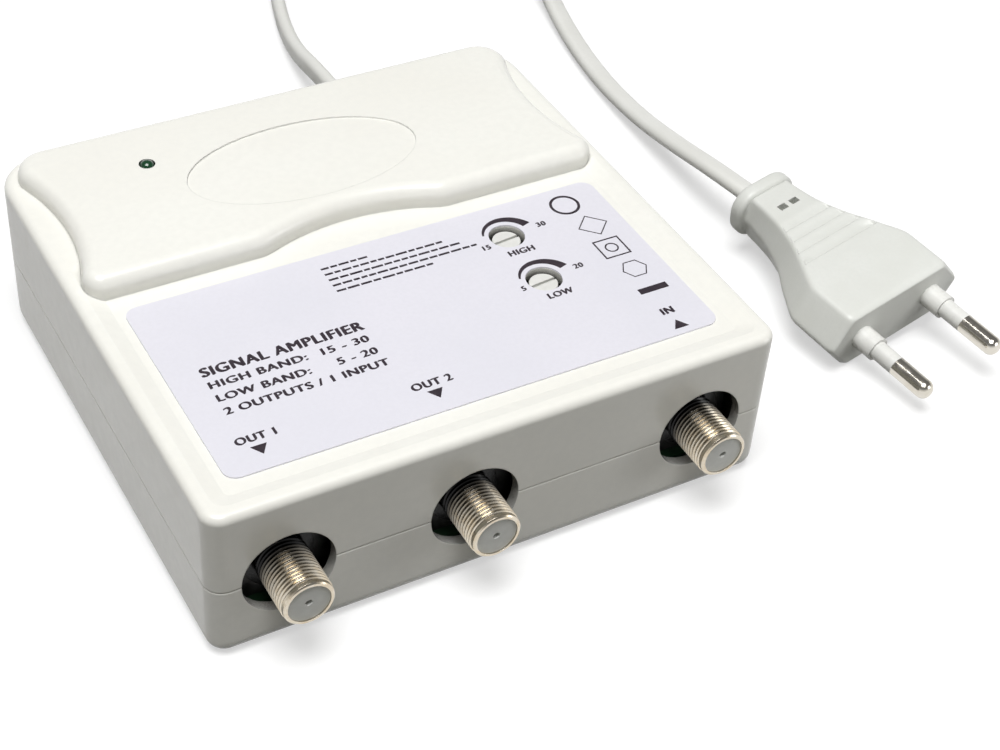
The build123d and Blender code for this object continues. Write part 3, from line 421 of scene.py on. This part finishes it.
# Print on the plate, in millimetres: places are from the left side and the front of the case
printValues = {
    "ink": 0.03,
    "portWords": (("OUT 1", 15.4, 16.0, 1.75), ("OUT 2", 47.7, 15.6, 1.75), ("IN", 95.3, 14.9, 1.75)),
    "outArrows": ((15.0, 13.0), (47.5, 12.8)),
    "inArrow": (95.4, 11.1),
    "arrowSize": (3.0, 2.3),
    "scaleWords": (("HIGH", 79.9, 41.2, 1.5), ("LOW", 80.2, 27.4, 1.5)),
    "scaleNumbers": (("15", 74.3, 44.7, 1.3), ("30", 87.3, 46.9, 1.3), ("5", 74.8, 31.3, 1.3),
                     ("20", 87.3, 33.0, 1.3)),
    "scaleCentres": ((79.7, 46.4), (79.7, 32.4)),
    "scaleInner": 4.25,
    "scaleOuter": (4.6, 6.3),
    "scaleDrift": 0.25,
    "scaleStart": 157.0,
    "scaleEnd": 18.0,
    "scaleSteps": 40,
    "heading": ("SIGNAL AMPLIFIER", 13.0, 34.2, 2.35, 30.5),
    "textLines": (("HIGH BAND:  15 - 30", 13.0, 30.7, 1.75, 30.0),
                  ("LOW BAND:     5 - 20", 13.0, 27.2, 1.75, 30.0),
                  ("2 OUTPUTS / 1 INPUT", 13.0, 23.7, 1.75, 30.5)),
    "smallLines": ((43.8, 51.6, 9.5), (43.8, 49.9, 24.0), (43.8, 48.2, 27.0), (43.8, 46.5, 29.5),
                   (43.8, 44.8, 20.0)),
    "smallHeight": 0.5,
    "smallWord": (2.2, 5.0),
    "smallGap": 0.7,
}

# Lettering: set size over capital height, letter spacing, and how often and how far apart it is struck
letterValues = {
    "sizePerCapital": 1.4,
    "spacing": 1.12,
    "strikes": 4,
    "strikeStep": (0.05, 0.018),
    "strikeRise": 0.1,
}


def labelPoint(fromLeft, fromFront):
    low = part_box("top_cover")[0]
    return Vector((low.x + fromLeft * mm, low.y + fromFront * mm))


def addPlate(shape, points, base, thickness):
    lower = [shape.verts.new((x, y, base)) for x, y in points]
    upper = [shape.verts.new((x, y, base + thickness)) for x, y in points]
    shape.faces.new(lower[::-1])
    shape.faces.new(upper)
    count = len(points)
    for index in range(count):
        after = (index + 1) % count
        shape.faces.new((lower[index], lower[after], upper[after], upper[index]))


def addStrip(shape, outer, inner, base, thickness, closed):
    rows = []
    for one, two in zip(outer, inner):
        rows.append([shape.verts.new((*one, base)), shape.verts.new((*one, base + thickness)),
                     shape.verts.new((*two, base + thickness)), shape.verts.new((*two, base))])
    pairs = list(zip(rows, rows[1:])) + ([(rows[-1], rows[0])] if closed else [])
    count = len(rows[0])
    for near, far in pairs:
        for index in range(count):
            after = (index + 1) % count
            shape.faces.new((near[index], near[after], far[after], far[index]))
    if not closed:
        shape.faces.new(rows[0][::-1])
        shape.faces.new(rows[-1])


def addWord(shape, text, fromLeft, fromFront, size, base, thickness, run=None):
    # a word is centred on its place, or starts there and is fitted to the run where one is given
    font = bpy.data.curves.new("word", "FONT")
    font.body = text
    font.size = size * mm * letterValues["sizePerCapital"]
    font.align_x = "LEFT" if run else "CENTER"
    font.align_y = "CENTER"
    font.space_character = letterValues["spacing"]
    font.extrude = thickness / 2
    word = bpy.data.objects.new("word", font)
    scene.collection.objects.link(word)
    bpy.context.view_layer.update()
    mesh = bpy.data.meshes.new_from_object(word.evaluated_get(bpy.context.evaluated_depsgraph_get()))
    place = labelPoint(fromLeft, fromFront)
    stretch = run * mm / max(vertex.co.x for vertex in mesh.vertices) if run else 1.0
    mesh.transform(Matrix.Translation((place.x, place.y, base + thickness / 2))
                   @ Matrix.Diagonal((stretch, 1, 1, 1)))
    right, up = letterValues["strikeStep"]
    step = Vector((size * mm * right, size * mm * up, thickness * letterValues["strikeRise"]))
    for _ in range(letterValues["strikes"]):  # each a little apart and above, so the letters are bold
        shape.from_mesh(mesh)
        mesh.transform(Matrix.Translation(step))
    bpy.data.objects.remove(word)
    bpy.data.meshes.remove(mesh)


def bar(fromLeft, fromFront, length, height):
    one = labelPoint(fromLeft, fromFront - height / 2)
    two = labelPoint(fromLeft + length, fromFront + height / 2)
    return [(one.x, one.y), (two.x, one.y), (two.x, two.y), (one.x, two.y)]


def addTextLine(shape, fromLeft, fromFront, length, values, base, thickness):
    # a row of word-long bars stands for a line of the smallest print
    at, end, height = fromLeft, fromLeft + length, values["smallHeight"]
    while at < end - height:
        run = min(random.uniform(*values["smallWord"]) * height, end - at)
        addPlate(shape, bar(at, fromFront, run, height), base, thickness)
        at += run + values["smallGap"] * height


def regularRing(centre, radius, count, turn):
    middle = labelPoint(*centre)
    angles = [math.radians(turn + 360 * index / count) for index in range(count)]
    return [(middle.x + radius * mm * math.cos(a), middle.y + radius * mm * math.sin(a)) for a in angles]


def plateTop():
    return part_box("label_plate")[1].z


def inkPiece(name, shape, weld=1e-7):
    bmesh.ops.remove_doubles(shape, verts=shape.verts, dist=weld)
    bmesh.ops.recalc_face_normals(shape, faces=shape.faces)
    mesh = bpy.data.meshes.new(name)
    shape.to_mesh(mesh)
    shape.free()
    return finishMesh(name, mesh)


def makePortMarks(values):
    shape, base, ink = bmesh.new(), plateTop(), values["ink"] * mm
    for word in values["portWords"]:
        addWord(shape, *word, base, ink)
    width, depth = values["arrowSize"]
    arrows = [(place, -1) for place in values["outArrows"]] + [(values["inArrow"], 1)]
    for (x, y), way in arrows:
        corners = [(x - width / 2, y - way * depth / 2), (x + width / 2, y - way * depth / 2),
                   (x, y + way * depth / 2)]
        addPlate(shape, [tuple(labelPoint(*corner)) for corner in corners], base, ink)
    return inkPiece("portMarks", shape)


def makeGainScales(values):
    shape, base, ink = bmesh.new(), plateTop(), values["ink"] * mm
    for word in values["scaleWords"] + values["scaleNumbers"]:
        addWord(shape, *word, base, ink)
    steps = values["scaleSteps"]
    thin, thick = values["scaleOuter"]
    inside, drift = values["scaleInner"], values["scaleDrift"]
    start, end = values["scaleStart"], values["scaleEnd"]
    for centre in values["scaleCentres"]:
        middle = labelPoint(*centre)
        outer, inner = [], []
        for index in range(steps + 1):
            share = index / steps
            angle = math.radians(start + (end - start) * share)
            way = Vector((math.cos(angle), math.sin(angle)))
            outer.append(tuple(middle + way * (thin + (thick - thin) * share) * mm))
            inner.append(tuple(middle + way * (inside + drift * share) * mm))
        addStrip(shape, outer, inner, base, ink, False)
    return inkPiece("gainScales", shape)


def makePlainWords(values):
    shape, base, ink = bmesh.new(), plateTop(), values["ink"] * mm
    for text, left, front, size, run in (values["heading"], *values["textLines"]):
        addWord(shape, text, left, front, size, base, ink, run)
    return inkPiece("plainWords", shape)


def makeSmallPrint(values):
    shape, base, ink = bmesh.new(), plateTop(), values["ink"] * mm
    for left, front, length in values["smallLines"]:
        addTextLine(shape, left, front, length, values, base, ink)
    return inkPiece("smallPrint", shape)


# Plain shapes in a column at the right: centre, radius, stroke, sides and turn of each outline, and the
# left end, length and height of the bar
signValues = {
    "ring": ((94.6, 50.3), 3.0, 0.55, 48, 0),
    "diamond": ((96.3, 42.6), 3.2, 0.22, 4, 0),
    "outerSquare": ((96.0, 35.2), 3.9, 0.32, 4, 45),
    "innerRing": ((96.0, 35.2), 1.35, 0.3, 32, 0),
    "hexagon": ((96.6, 28.0), 2.6, 0.22, 6, 0),
    "solidBar": (93.6, 21.6, 6.0, 1.5),
}


def makeSigns(values, ink):
    shape, base = bmesh.new(), plateTop()
    for name in ("ring", "diamond", "outerSquare", "innerRing", "hexagon"):
        centre, radius, stroke, sides, turn = values[name]
        outer = regularRing(centre, radius, sides, turn)
        inner = regularRing(centre, radius - stroke / math.cos(math.pi / sides), sides, turn)
        addStrip(shape, outer, inner, base, ink, True)
    addPlate(shape, bar(*values["solidBar"]), base, ink)
    return inkPiece("plainSigns", shape)


printPieces = [makePortMarks(printValues), makeGainScales(printValues), makePlainWords(printValues),
               makeSmallPrint(printValues), makeSigns(signValues, printValues["ink"] * mm)]
print("label printed")

# Finishes, with sizes in millimetres: two colours and the size of their patches, gloss, grain and its
# depth, edges lightened as wear and painted highlight, painted shade in hollows (reach, and the open
# shares that are darkest and clear), and painted shade at the inner end of a socket (from, to and how
# dark)
finishes = {
    # the case's wells and creases are darkened with painted shade
    "case_plastic": {"colour": (0.86, 0.855, 0.805), "other": (0.84, 0.83, 0.775), "patch": 35.0,
                     "roughness": (0.2, 0.27), "grain": 0.5, "depth": 0.006, "edge": 0.35,
                     "wearAndHighlight": (0.90, 0.895, 0.865), "paintedShade": (9.0, 0.2, 0.45)},
    "label_film": {"colour": (0.74, 0.73, 0.79), "other": (0.715, 0.71, 0.77), "patch": 22.0,
                   "roughness": (0.28, 0.36), "grain": 0.25, "depth": 0.004},
    "print_ink": {"colour": (0.022, 0.014, 0.022), "other": (0.035, 0.024, 0.033), "patch": 2.0,
                  "roughness": (0.38, 0.5), "grain": 0.12, "depth": 0.003},
    # the socket's thread valleys and its inner end are darkened with painted shade; its edges carry a
    # painted highlight
    "socket_nickel": {"colour": (0.62, 0.57, 0.48), "other": (0.56, 0.47, 0.34), "patch": 1.6,
                      "roughness": (0.18, 0.28), "grain": 0.10, "depth": 0.0015, "metallic": 1.0,
                      "edge": 0.05, "wearAndHighlight": (0.80, 0.76, 0.70), "inner": (-54.6, -47.4, 0.02),
                      "paintedShade": (0.5, 0.2, 0.62)},
    "pin_nickel": {"colour": (0.66, 0.63, 0.57), "other": (0.60, 0.56, 0.48), "patch": 3.0,
                   "roughness": (0.12, 0.22), "grain": 0.15, "depth": 0.002, "metallic": 1.0,
                   "edge": 0.1, "wearAndHighlight": (0.78, 0.75, 0.70)},
    "insulator_plastic": {"colour": (0.86, 0.87, 0.84), "other": (0.80, 0.81, 0.78), "patch": 1.5,
                          "roughness": (0.4, 0.52), "grain": 0.15, "depth": 0.006},
    # near-black contact: painted shade for the socket's hole, not the bronze's own colour
    "contact_bronze": {"colour": (0.07, 0.05, 0.03), "other": (0.05, 0.035, 0.02), "patch": 1.0,
                       "roughness": (0.3, 0.45), "grain": 0.1, "depth": 0.003, "metallic": 1.0},
    "screw_steel": {"colour": (0.52, 0.52, 0.53), "other": (0.42, 0.42, 0.44), "patch": 1.2,
                    "roughness": (0.24, 0.4), "grain": 0.12, "depth": 0.005, "metallic": 1.0,
                    "edge": 0.08, "wearAndHighlight": (0.7, 0.7, 0.7)},
    # near-black tin: painted shade for the case's dark inside, not the tin's own colour
    "tin_plate": {"colour": (0.06, 0.06, 0.057), "other": (0.085, 0.082, 0.078), "patch": 6.0,
                  "roughness": (0.34, 0.5), "grain": 0.2, "depth": 0.006, "metallic": 1.0},
    "lead_wire": {"colour": (0.6, 0.6, 0.61), "other": (0.5, 0.5, 0.51), "patch": 1.0,
                  "roughness": (0.25, 0.4), "grain": 0.1, "depth": 0.003, "metallic": 1.0},
    "copper_wire": {"colour": (0.62, 0.26, 0.12), "other": (0.5, 0.19, 0.08), "patch": 1.0,
                    "roughness": (0.22, 0.36), "grain": 0.35, "depth": 0.04, "metallic": 1.0,
                    "ribs": 0.45, "ribsAlong": "Y"},
    "board_laminate": {"colour": (0.008, 0.03, 0.012), "other": (0.012, 0.045, 0.018), "patch": 3.0,
                       "roughness": (0.3, 0.45), "grain": 0.4, "depth": 0.01},
    "trimmer_plastic": {"colour": (0.02, 0.06, 0.2), "other": (0.03, 0.08, 0.25), "patch": 2.0,
                        "roughness": (0.35, 0.5), "grain": 0.2, "depth": 0.006},
    "shaft_plastic": {"colour": (0.74, 0.74, 0.71), "other": (0.68, 0.68, 0.65), "patch": 1.5,
                      "roughness": (0.34, 0.48), "grain": 0.15, "depth": 0.006, "edge": 0.1,
                      "wearAndHighlight": (0.82, 0.82, 0.8)},
    "led_resin": {"colour": (0.006, 0.055, 0.02), "other": (0.01, 0.09, 0.03), "patch": 0.8,
                  "roughness": (0.08, 0.14), "grain": 0.3, "depth": 0.002, "clear": 0.35},
    "black_plastic": {"colour": (0.018, 0.018, 0.02), "other": (0.028, 0.028, 0.03), "patch": 2.0,
                      "roughness": (0.4, 0.6), "grain": 0.2, "depth": 0.01},
    "ferrite": {"colour": (0.03, 0.03, 0.033), "other": (0.055, 0.053, 0.052), "patch": 1.2,
                "roughness": (0.5, 0.7), "grain": 0.25, "depth": 0.02},
    "winding_tape": {"colour": (0.72, 0.46, 0.03), "other": (0.66, 0.4, 0.03), "patch": 3.0,
                     "roughness": (0.2, 0.3), "grain": 0.6, "depth": 0.02,
                     "ribs": 1.2, "ribsAlong": "Z"},
    "capacitor_sleeve": {"colour": (0.012, 0.015, 0.05), "other": (0.02, 0.025, 0.07), "patch": 3.0,
                         "roughness": (0.18, 0.3), "grain": 0.3, "depth": 0.006},
    "resistor_coating": {"colour": (0.07, 0.15, 0.1), "other": (0.1, 0.19, 0.13), "patch": 1.5,
                         "roughness": (0.35, 0.5), "grain": 0.25, "depth": 0.015},
    "disc_coating": {"colour": (0.02, 0.08, 0.34), "other": (0.03, 0.1, 0.4), "patch": 2.0,
                     "roughness": (0.2, 0.34), "grain": 0.4, "depth": 0.015},
    "chip_ceramic": {"colour": (0.34, 0.22, 0.12), "other": (0.26, 0.17, 0.09), "patch": 1.0,
                     "roughness": (0.4, 0.6), "grain": 0.15, "depth": 0.006},
    "cord_sheath": {"colour": (0.80, 0.80, 0.765), "other": (0.765, 0.765, 0.725), "patch": 14.0,
                    "roughness": (0.3, 0.42), "grain": 0.3, "depth": 0.008},
    "tie_plastic": {"colour": (0.70, 0.71, 0.69), "other": (0.66, 0.67, 0.65), "patch": 4.0,
                    "roughness": (0.25, 0.4), "grain": 0.3, "depth": 0.006, "edge": 0.15,
                    "wearAndHighlight": (0.78, 0.78, 0.77)},
    "plug_plastic": {"colour": (0.71, 0.72, 0.685), "other": (0.68, 0.69, 0.65), "patch": 9.0,
                     "roughness": (0.34, 0.46), "grain": 0.25, "depth": 0.009, "edge": 0.3,
                     "wearAndHighlight": (0.77, 0.775, 0.75)},
    "sleeve_plastic": {"colour": (0.78, 0.78, 0.75), "other": (0.73, 0.73, 0.70), "patch": 3.0,
                       "roughness": (0.26, 0.38), "grain": 0.2, "depth": 0.005, "edge": 0.1,
                       "wearAndHighlight": (0.82, 0.82, 0.8)},
    "wire_insulation": {"colour": (0.10, 0.035, 0.015), "other": (0.13, 0.05, 0.02), "patch": 3.0,
                        "roughness": (0.3, 0.42), "grain": 0.25, "depth": 0.006},
}

# What all finishes share; the sizes of specks and gloss are in grains
finishRules = {
    "patchDetail": 4,
    "grainDetail": 3,
    "speckDetail": 2,
    "speckSize": 3,
    "speckShare": 0.35,
    "speckDark": 0.93,
    "glossSize": 8,
    "noiseSpan": (0.35, 0.65),
    "bumpStrength": 0.6,
    "wavesPerRib": 0.31,
    # the edge rules set the lightened edges, which are wear and painted highlight
    "edgeSamples": 4,
    "edgeSpan": (0.86, 0.985),
    "edgeShare": 0.75,
    # the next rules set the painted shade in creases and recesses, and its near-black colour
    "paintedShadeSamples": 6,
    "paintedShadeShare": 0.9,
    "paintedShadeColour": (0.015, 0.015, 0.014),
    "clearCoat": 0.5,
}


def makeFinish(name, look, rules):
    material = bpy.data.materials.new(name)
    material.use_nodes = True
    nodes, links = material.node_tree.nodes, material.node_tree.links
    shader = nodes["Principled BSDF"]
    shader.inputs["Metallic"].default_value = look.get("metallic", 0.0)
    place = nodes.new("ShaderNodeTexCoord")

    def noise(size, detail):
        texture = nodes.new("ShaderNodeTexNoise")
        texture.inputs["Scale"].default_value = 1 / (size * mm)
        texture.inputs["Detail"].default_value = detail
        links.new(place.outputs["Object"], texture.inputs["Vector"])
        return texture.outputs["Fac"]

    def spread(value, low, high, fromLow, fromHigh):
        reach = nodes.new("ShaderNodeMapRange")
        reach.inputs["From Min"].default_value = fromLow
        reach.inputs["From Max"].default_value = fromHigh
        reach.inputs["To Min"].default_value = low
        reach.inputs["To Max"].default_value = high
        links.new(value, reach.inputs["Value"])
        return reach.outputs["Result"]

    def blendColours(factor, one, two):
        mix = nodes.new("ShaderNodeMix")
        mix.data_type = "RGBA"
        links.new(factor, mix.inputs["Factor"])
        for socket, colour in ((mix.inputs["A"], one), (mix.inputs["B"], two)):
            if isinstance(colour, tuple):
                socket.default_value = (*colour, 1)
            else:
                links.new(colour, socket)
        return mix.outputs["Result"]

    span, fineDetail = rules["noiseSpan"], rules["grainDetail"]
    patches = noise(look["patch"], rules["patchDetail"])
    colour = blendColours(spread(patches, 0, 1, *span), look["colour"], look["other"])
    fine = noise(look["grain"], fineDetail)
    specks = noise(look["grain"] * rules["speckSize"], rules["speckDetail"])
    darker = tuple(value * rules["speckDark"] for value in look["colour"])
    colour = blendColours(spread(specks, 0, rules["speckShare"], *span), colour, darker)
    bump = nodes.new("ShaderNodeBump")
    bump.inputs["Distance"].default_value = look["depth"] * mm
    bump.inputs["Strength"].default_value = rules["bumpStrength"]
    links.new(fine, bump.inputs["Height"])
    if "ribs" in look:
        wave = nodes.new("ShaderNodeTexWave")
        wave.bands_direction = look["ribsAlong"]
        wave.inputs["Scale"].default_value = rules["wavesPerRib"] / (look["ribs"] * mm)
        links.new(place.outputs["Object"], wave.inputs["Vector"])
        links.new(wave.outputs["Fac"], bump.inputs["Height"])
    # edges lightened: partly wear, partly painted highlight on crests and rims
    if "edge" in look:
        rim = nodes.new("ShaderNodeBevel")
        rim.samples = rules["edgeSamples"]
        rim.inputs["Radius"].default_value = look["edge"] * mm
        face = nodes.new("ShaderNodeNewGeometry")
        turned = nodes.new("ShaderNodeVectorMath")
        turned.operation = "DOT_PRODUCT"
        links.new(rim.outputs["Normal"], turned.inputs[0])
        links.new(face.outputs["Normal"], turned.inputs[1])
        wearAndHighlight = spread(turned.outputs["Value"], rules["edgeShare"], 0, *rules["edgeSpan"])
        colour = blendColours(wearAndHighlight, colour, look["wearAndHighlight"])
        links.new(rim.outputs["Normal"], bump.inputs["Normal"])
    # ambient occlusion darkens creases and recesses towards near-black: painted shade
    if "paintedShade" in look:
        reach, deep, shallow = look["paintedShade"]
        near = nodes.new("ShaderNodeAmbientOcclusion")
        near.samples = rules["paintedShadeSamples"]
        near.inputs["Distance"].default_value = reach * mm
        shadeAmount = spread(near.outputs["AO"], rules["paintedShadeShare"], 0, deep, shallow)
        colour = blendColours(shadeAmount, colour, rules["paintedShadeColour"])
    # darker deeper into the socket along Y: painted shade of its well
    if "inner" in look:
        front, rear, dark = look["inner"]
        parts = nodes.new("ShaderNodeSeparateXYZ")
        links.new(place.outputs["Object"], parts.inputs["Vector"])
        inward = spread(parts.outputs["Y"], 0, 1, front * mm, rear * mm)
        colour = blendColours(inward, colour, (dark,) * 3)
    links.new(colour, shader.inputs["Base Color"])
    gloss = noise(look["grain"] * rules["glossSize"], fineDetail)
    links.new(spread(gloss, *look["roughness"], *span), shader.inputs["Roughness"])
    links.new(bump.outputs["Normal"], shader.inputs["Normal"])
    if "clear" in look:
        shader.inputs["Transmission Weight"].default_value = look["clear"]
        shader.inputs["Coat Weight"].default_value = rules["clearCoat"]
    return material


materials = {name: makeFinish(name, look, finishRules) for name, look in finishes.items()}
slotOf = {entry["node"]: entry["material_slot"] for entry in frame["record"]["subparts"]}


def dress(piece, material):
    if not piece.material_slots:
        piece.data.materials.append(material)
    for slot in piece.material_slots:
        slot.material = material


for node, piece in frame["nodes"].items():
    dress(piece, materials[slotOf[node]])
dress(mainsCord, materials["cord_sheath"])
dress(plugBody, materials["plug_plastic"])
for piece in printPieces:
    dress(piece, materials["print_ink"])
print("finishes given:", len(materials))

# White table, one large soft lamp overhead, a little to the left and front, a small fill beside the
# plug, and a dim sky; table and sky are brighter where they are seen than where they only give light
studio = {
    "floorSize": 12.0,
    "floorDrop": 0.00005,
    "floorRough": 0.9,
    "floorSeen": 0.5,
    "floorGlow": 0.55,
    "farGlow": 1.0,
    "farPlace": (0.2, 1.7),
    "floorBounce": (0.08, 0.077, 0.062),
    "skyColour": (1.0, 0.99, 0.93),
    "sky": 0.10,
    "horizonSeen": 1.0,
    "zenithSeen": 0.2,
    "skyFade": (0.05, 0.55),
    "keyPlace": (-0.14, -0.145, 0.97),
    "keySize": 0.6,
    "keyPower": 11.3,
    "fillPlace": (0.17, -0.14, 0.06),
    "fillTowards": (0.10, -0.03, 0.008),
    "fillSize": 0.06,
    "fillPower": 0.045,
}


def seenRay(nodes, links):
    # 1 where the camera, a gloss or a clear piece looks at it, and 0 where it only gives light
    ray = nodes.new("ShaderNodeLightPath")
    either = ray.outputs["Is Camera Ray"]
    for name in ("Is Glossy Ray", "Is Transmission Ray"):
        larger = nodes.new("ShaderNodeMath")
        larger.operation = "MAXIMUM"
        links.new(either, larger.inputs[0])
        links.new(ray.outputs[name], larger.inputs[1])
        either = larger.outputs[0]
    return either


def fadeAlong(nodes, links, value, places, strengths):
    fade = nodes.new("ShaderNodeMapRange")
    fade.interpolation_type = "SMOOTHSTEP"
    fade.inputs["From Min"].default_value, fade.inputs["From Max"].default_value = places
    fade.inputs["To Min"].default_value, fade.inputs["To Max"].default_value = strengths
    links.new(value, fade.inputs["Value"])
    return fade.outputs["Result"]


def makeFloor(values):
    shape = bmesh.new()
    bmesh.ops.create_grid(shape, x_segments=1, y_segments=1, size=values["floorSize"] / 2)
    mesh = bpy.data.meshes.new("table")
    shape.to_mesh(mesh)
    shape.free()
    floor = bpy.data.objects.new("table", mesh)
    floor.location.z = -values["floorDrop"]
    scene.collection.objects.link(floor)
    material = bpy.data.materials.new("tableTop")
    material.use_nodes = True
    nodes, links = material.node_tree.nodes, material.node_tree.links
    shader = nodes["Principled BSDF"]
    shader.inputs["Roughness"].default_value = values["floorRough"]
    shader.inputs["Specular IOR Level"].default_value = 0.0
    shader.inputs["Emission Color"].default_value = (1, 1, 1, 1)
    seen = seenRay(nodes, links)
    mix = nodes.new("ShaderNodeMix")
    mix.data_type = "RGBA"
    links.new(seen, mix.inputs["Factor"])
    mix.inputs["A"].default_value = (*values["floorBounce"], 1)
    mix.inputs["B"].default_value = (*[values["floorSeen"]] * 3, 1)
    links.new(mix.outputs["Result"], shader.inputs["Base Color"])
    place = nodes.new("ShaderNodeTexCoord")
    away = nodes.new("ShaderNodeVectorMath")
    away.operation = "LENGTH"
    links.new(place.outputs["Object"], away.inputs[0])
    reach = fadeAlong(nodes, links, away.outputs["Value"], values["farPlace"],
                      (values["floorGlow"], values["farGlow"]))
    glow = nodes.new("ShaderNodeMath")
    glow.operation = "MULTIPLY"
    links.new(reach, glow.inputs[1])
    links.new(seen, glow.inputs[0])
    links.new(glow.outputs[0], shader.inputs["Emission Strength"])
    mesh.materials.append(material)


def addLamp(name, place, towards, size, power):
    light = bpy.data.lights.new(name, "AREA")
    light.size = size
    light.energy = power
    lamp = bpy.data.objects.new(name, light)
    lamp.location = place
    lamp.rotation_mode = "QUATERNION"
    lamp.rotation_quaternion = (Vector(towards) - Vector(place)).to_track_quat("-Z", "Y")
    scene.collection.objects.link(lamp)


def makeLights(values):
    world = bpy.data.worlds.new("studioSky")
    world.use_nodes = True
    nodes, links = world.node_tree.nodes, world.node_tree.links
    sky = nodes["Background"]
    tint = nodes.new("ShaderNodeMix")
    tint.data_type = "RGBA"
    tint.inputs["A"].default_value = (*values["skyColour"], 1)
    tint.inputs["B"].default_value = (1, 1, 1, 1)
    links.new(seenRay(nodes, links), tint.inputs["Factor"])
    links.new(tint.outputs["Result"], sky.inputs["Color"])
    way = nodes.new("ShaderNodeTexCoord")
    parts = nodes.new("ShaderNodeSeparateXYZ")
    links.new(way.outputs["Generated"], parts.inputs["Vector"])
    fade = fadeAlong(nodes, links, parts.outputs["Z"], values["skyFade"],
                     (values["horizonSeen"], values["zenithSeen"]))
    reach = nodes.new("ShaderNodeMix")
    reach.data_type = "FLOAT"
    reach.inputs["A"].default_value = values["sky"]
    links.new(seenRay(nodes, links), reach.inputs["Factor"])
    links.new(fade, reach.inputs["B"])
    links.new(reach.outputs["Result"], sky.inputs["Strength"])
    scene.world = world
    addLamp("key", values["keyPlace"], (0, 0, 0), values["keySize"], values["keyPower"])
    addLamp("fill", values["fillPlace"], values["fillTowards"], values["fillSize"], values["fillPower"])


makeFloor(studio)
makeLights(studio)
print("studio set")
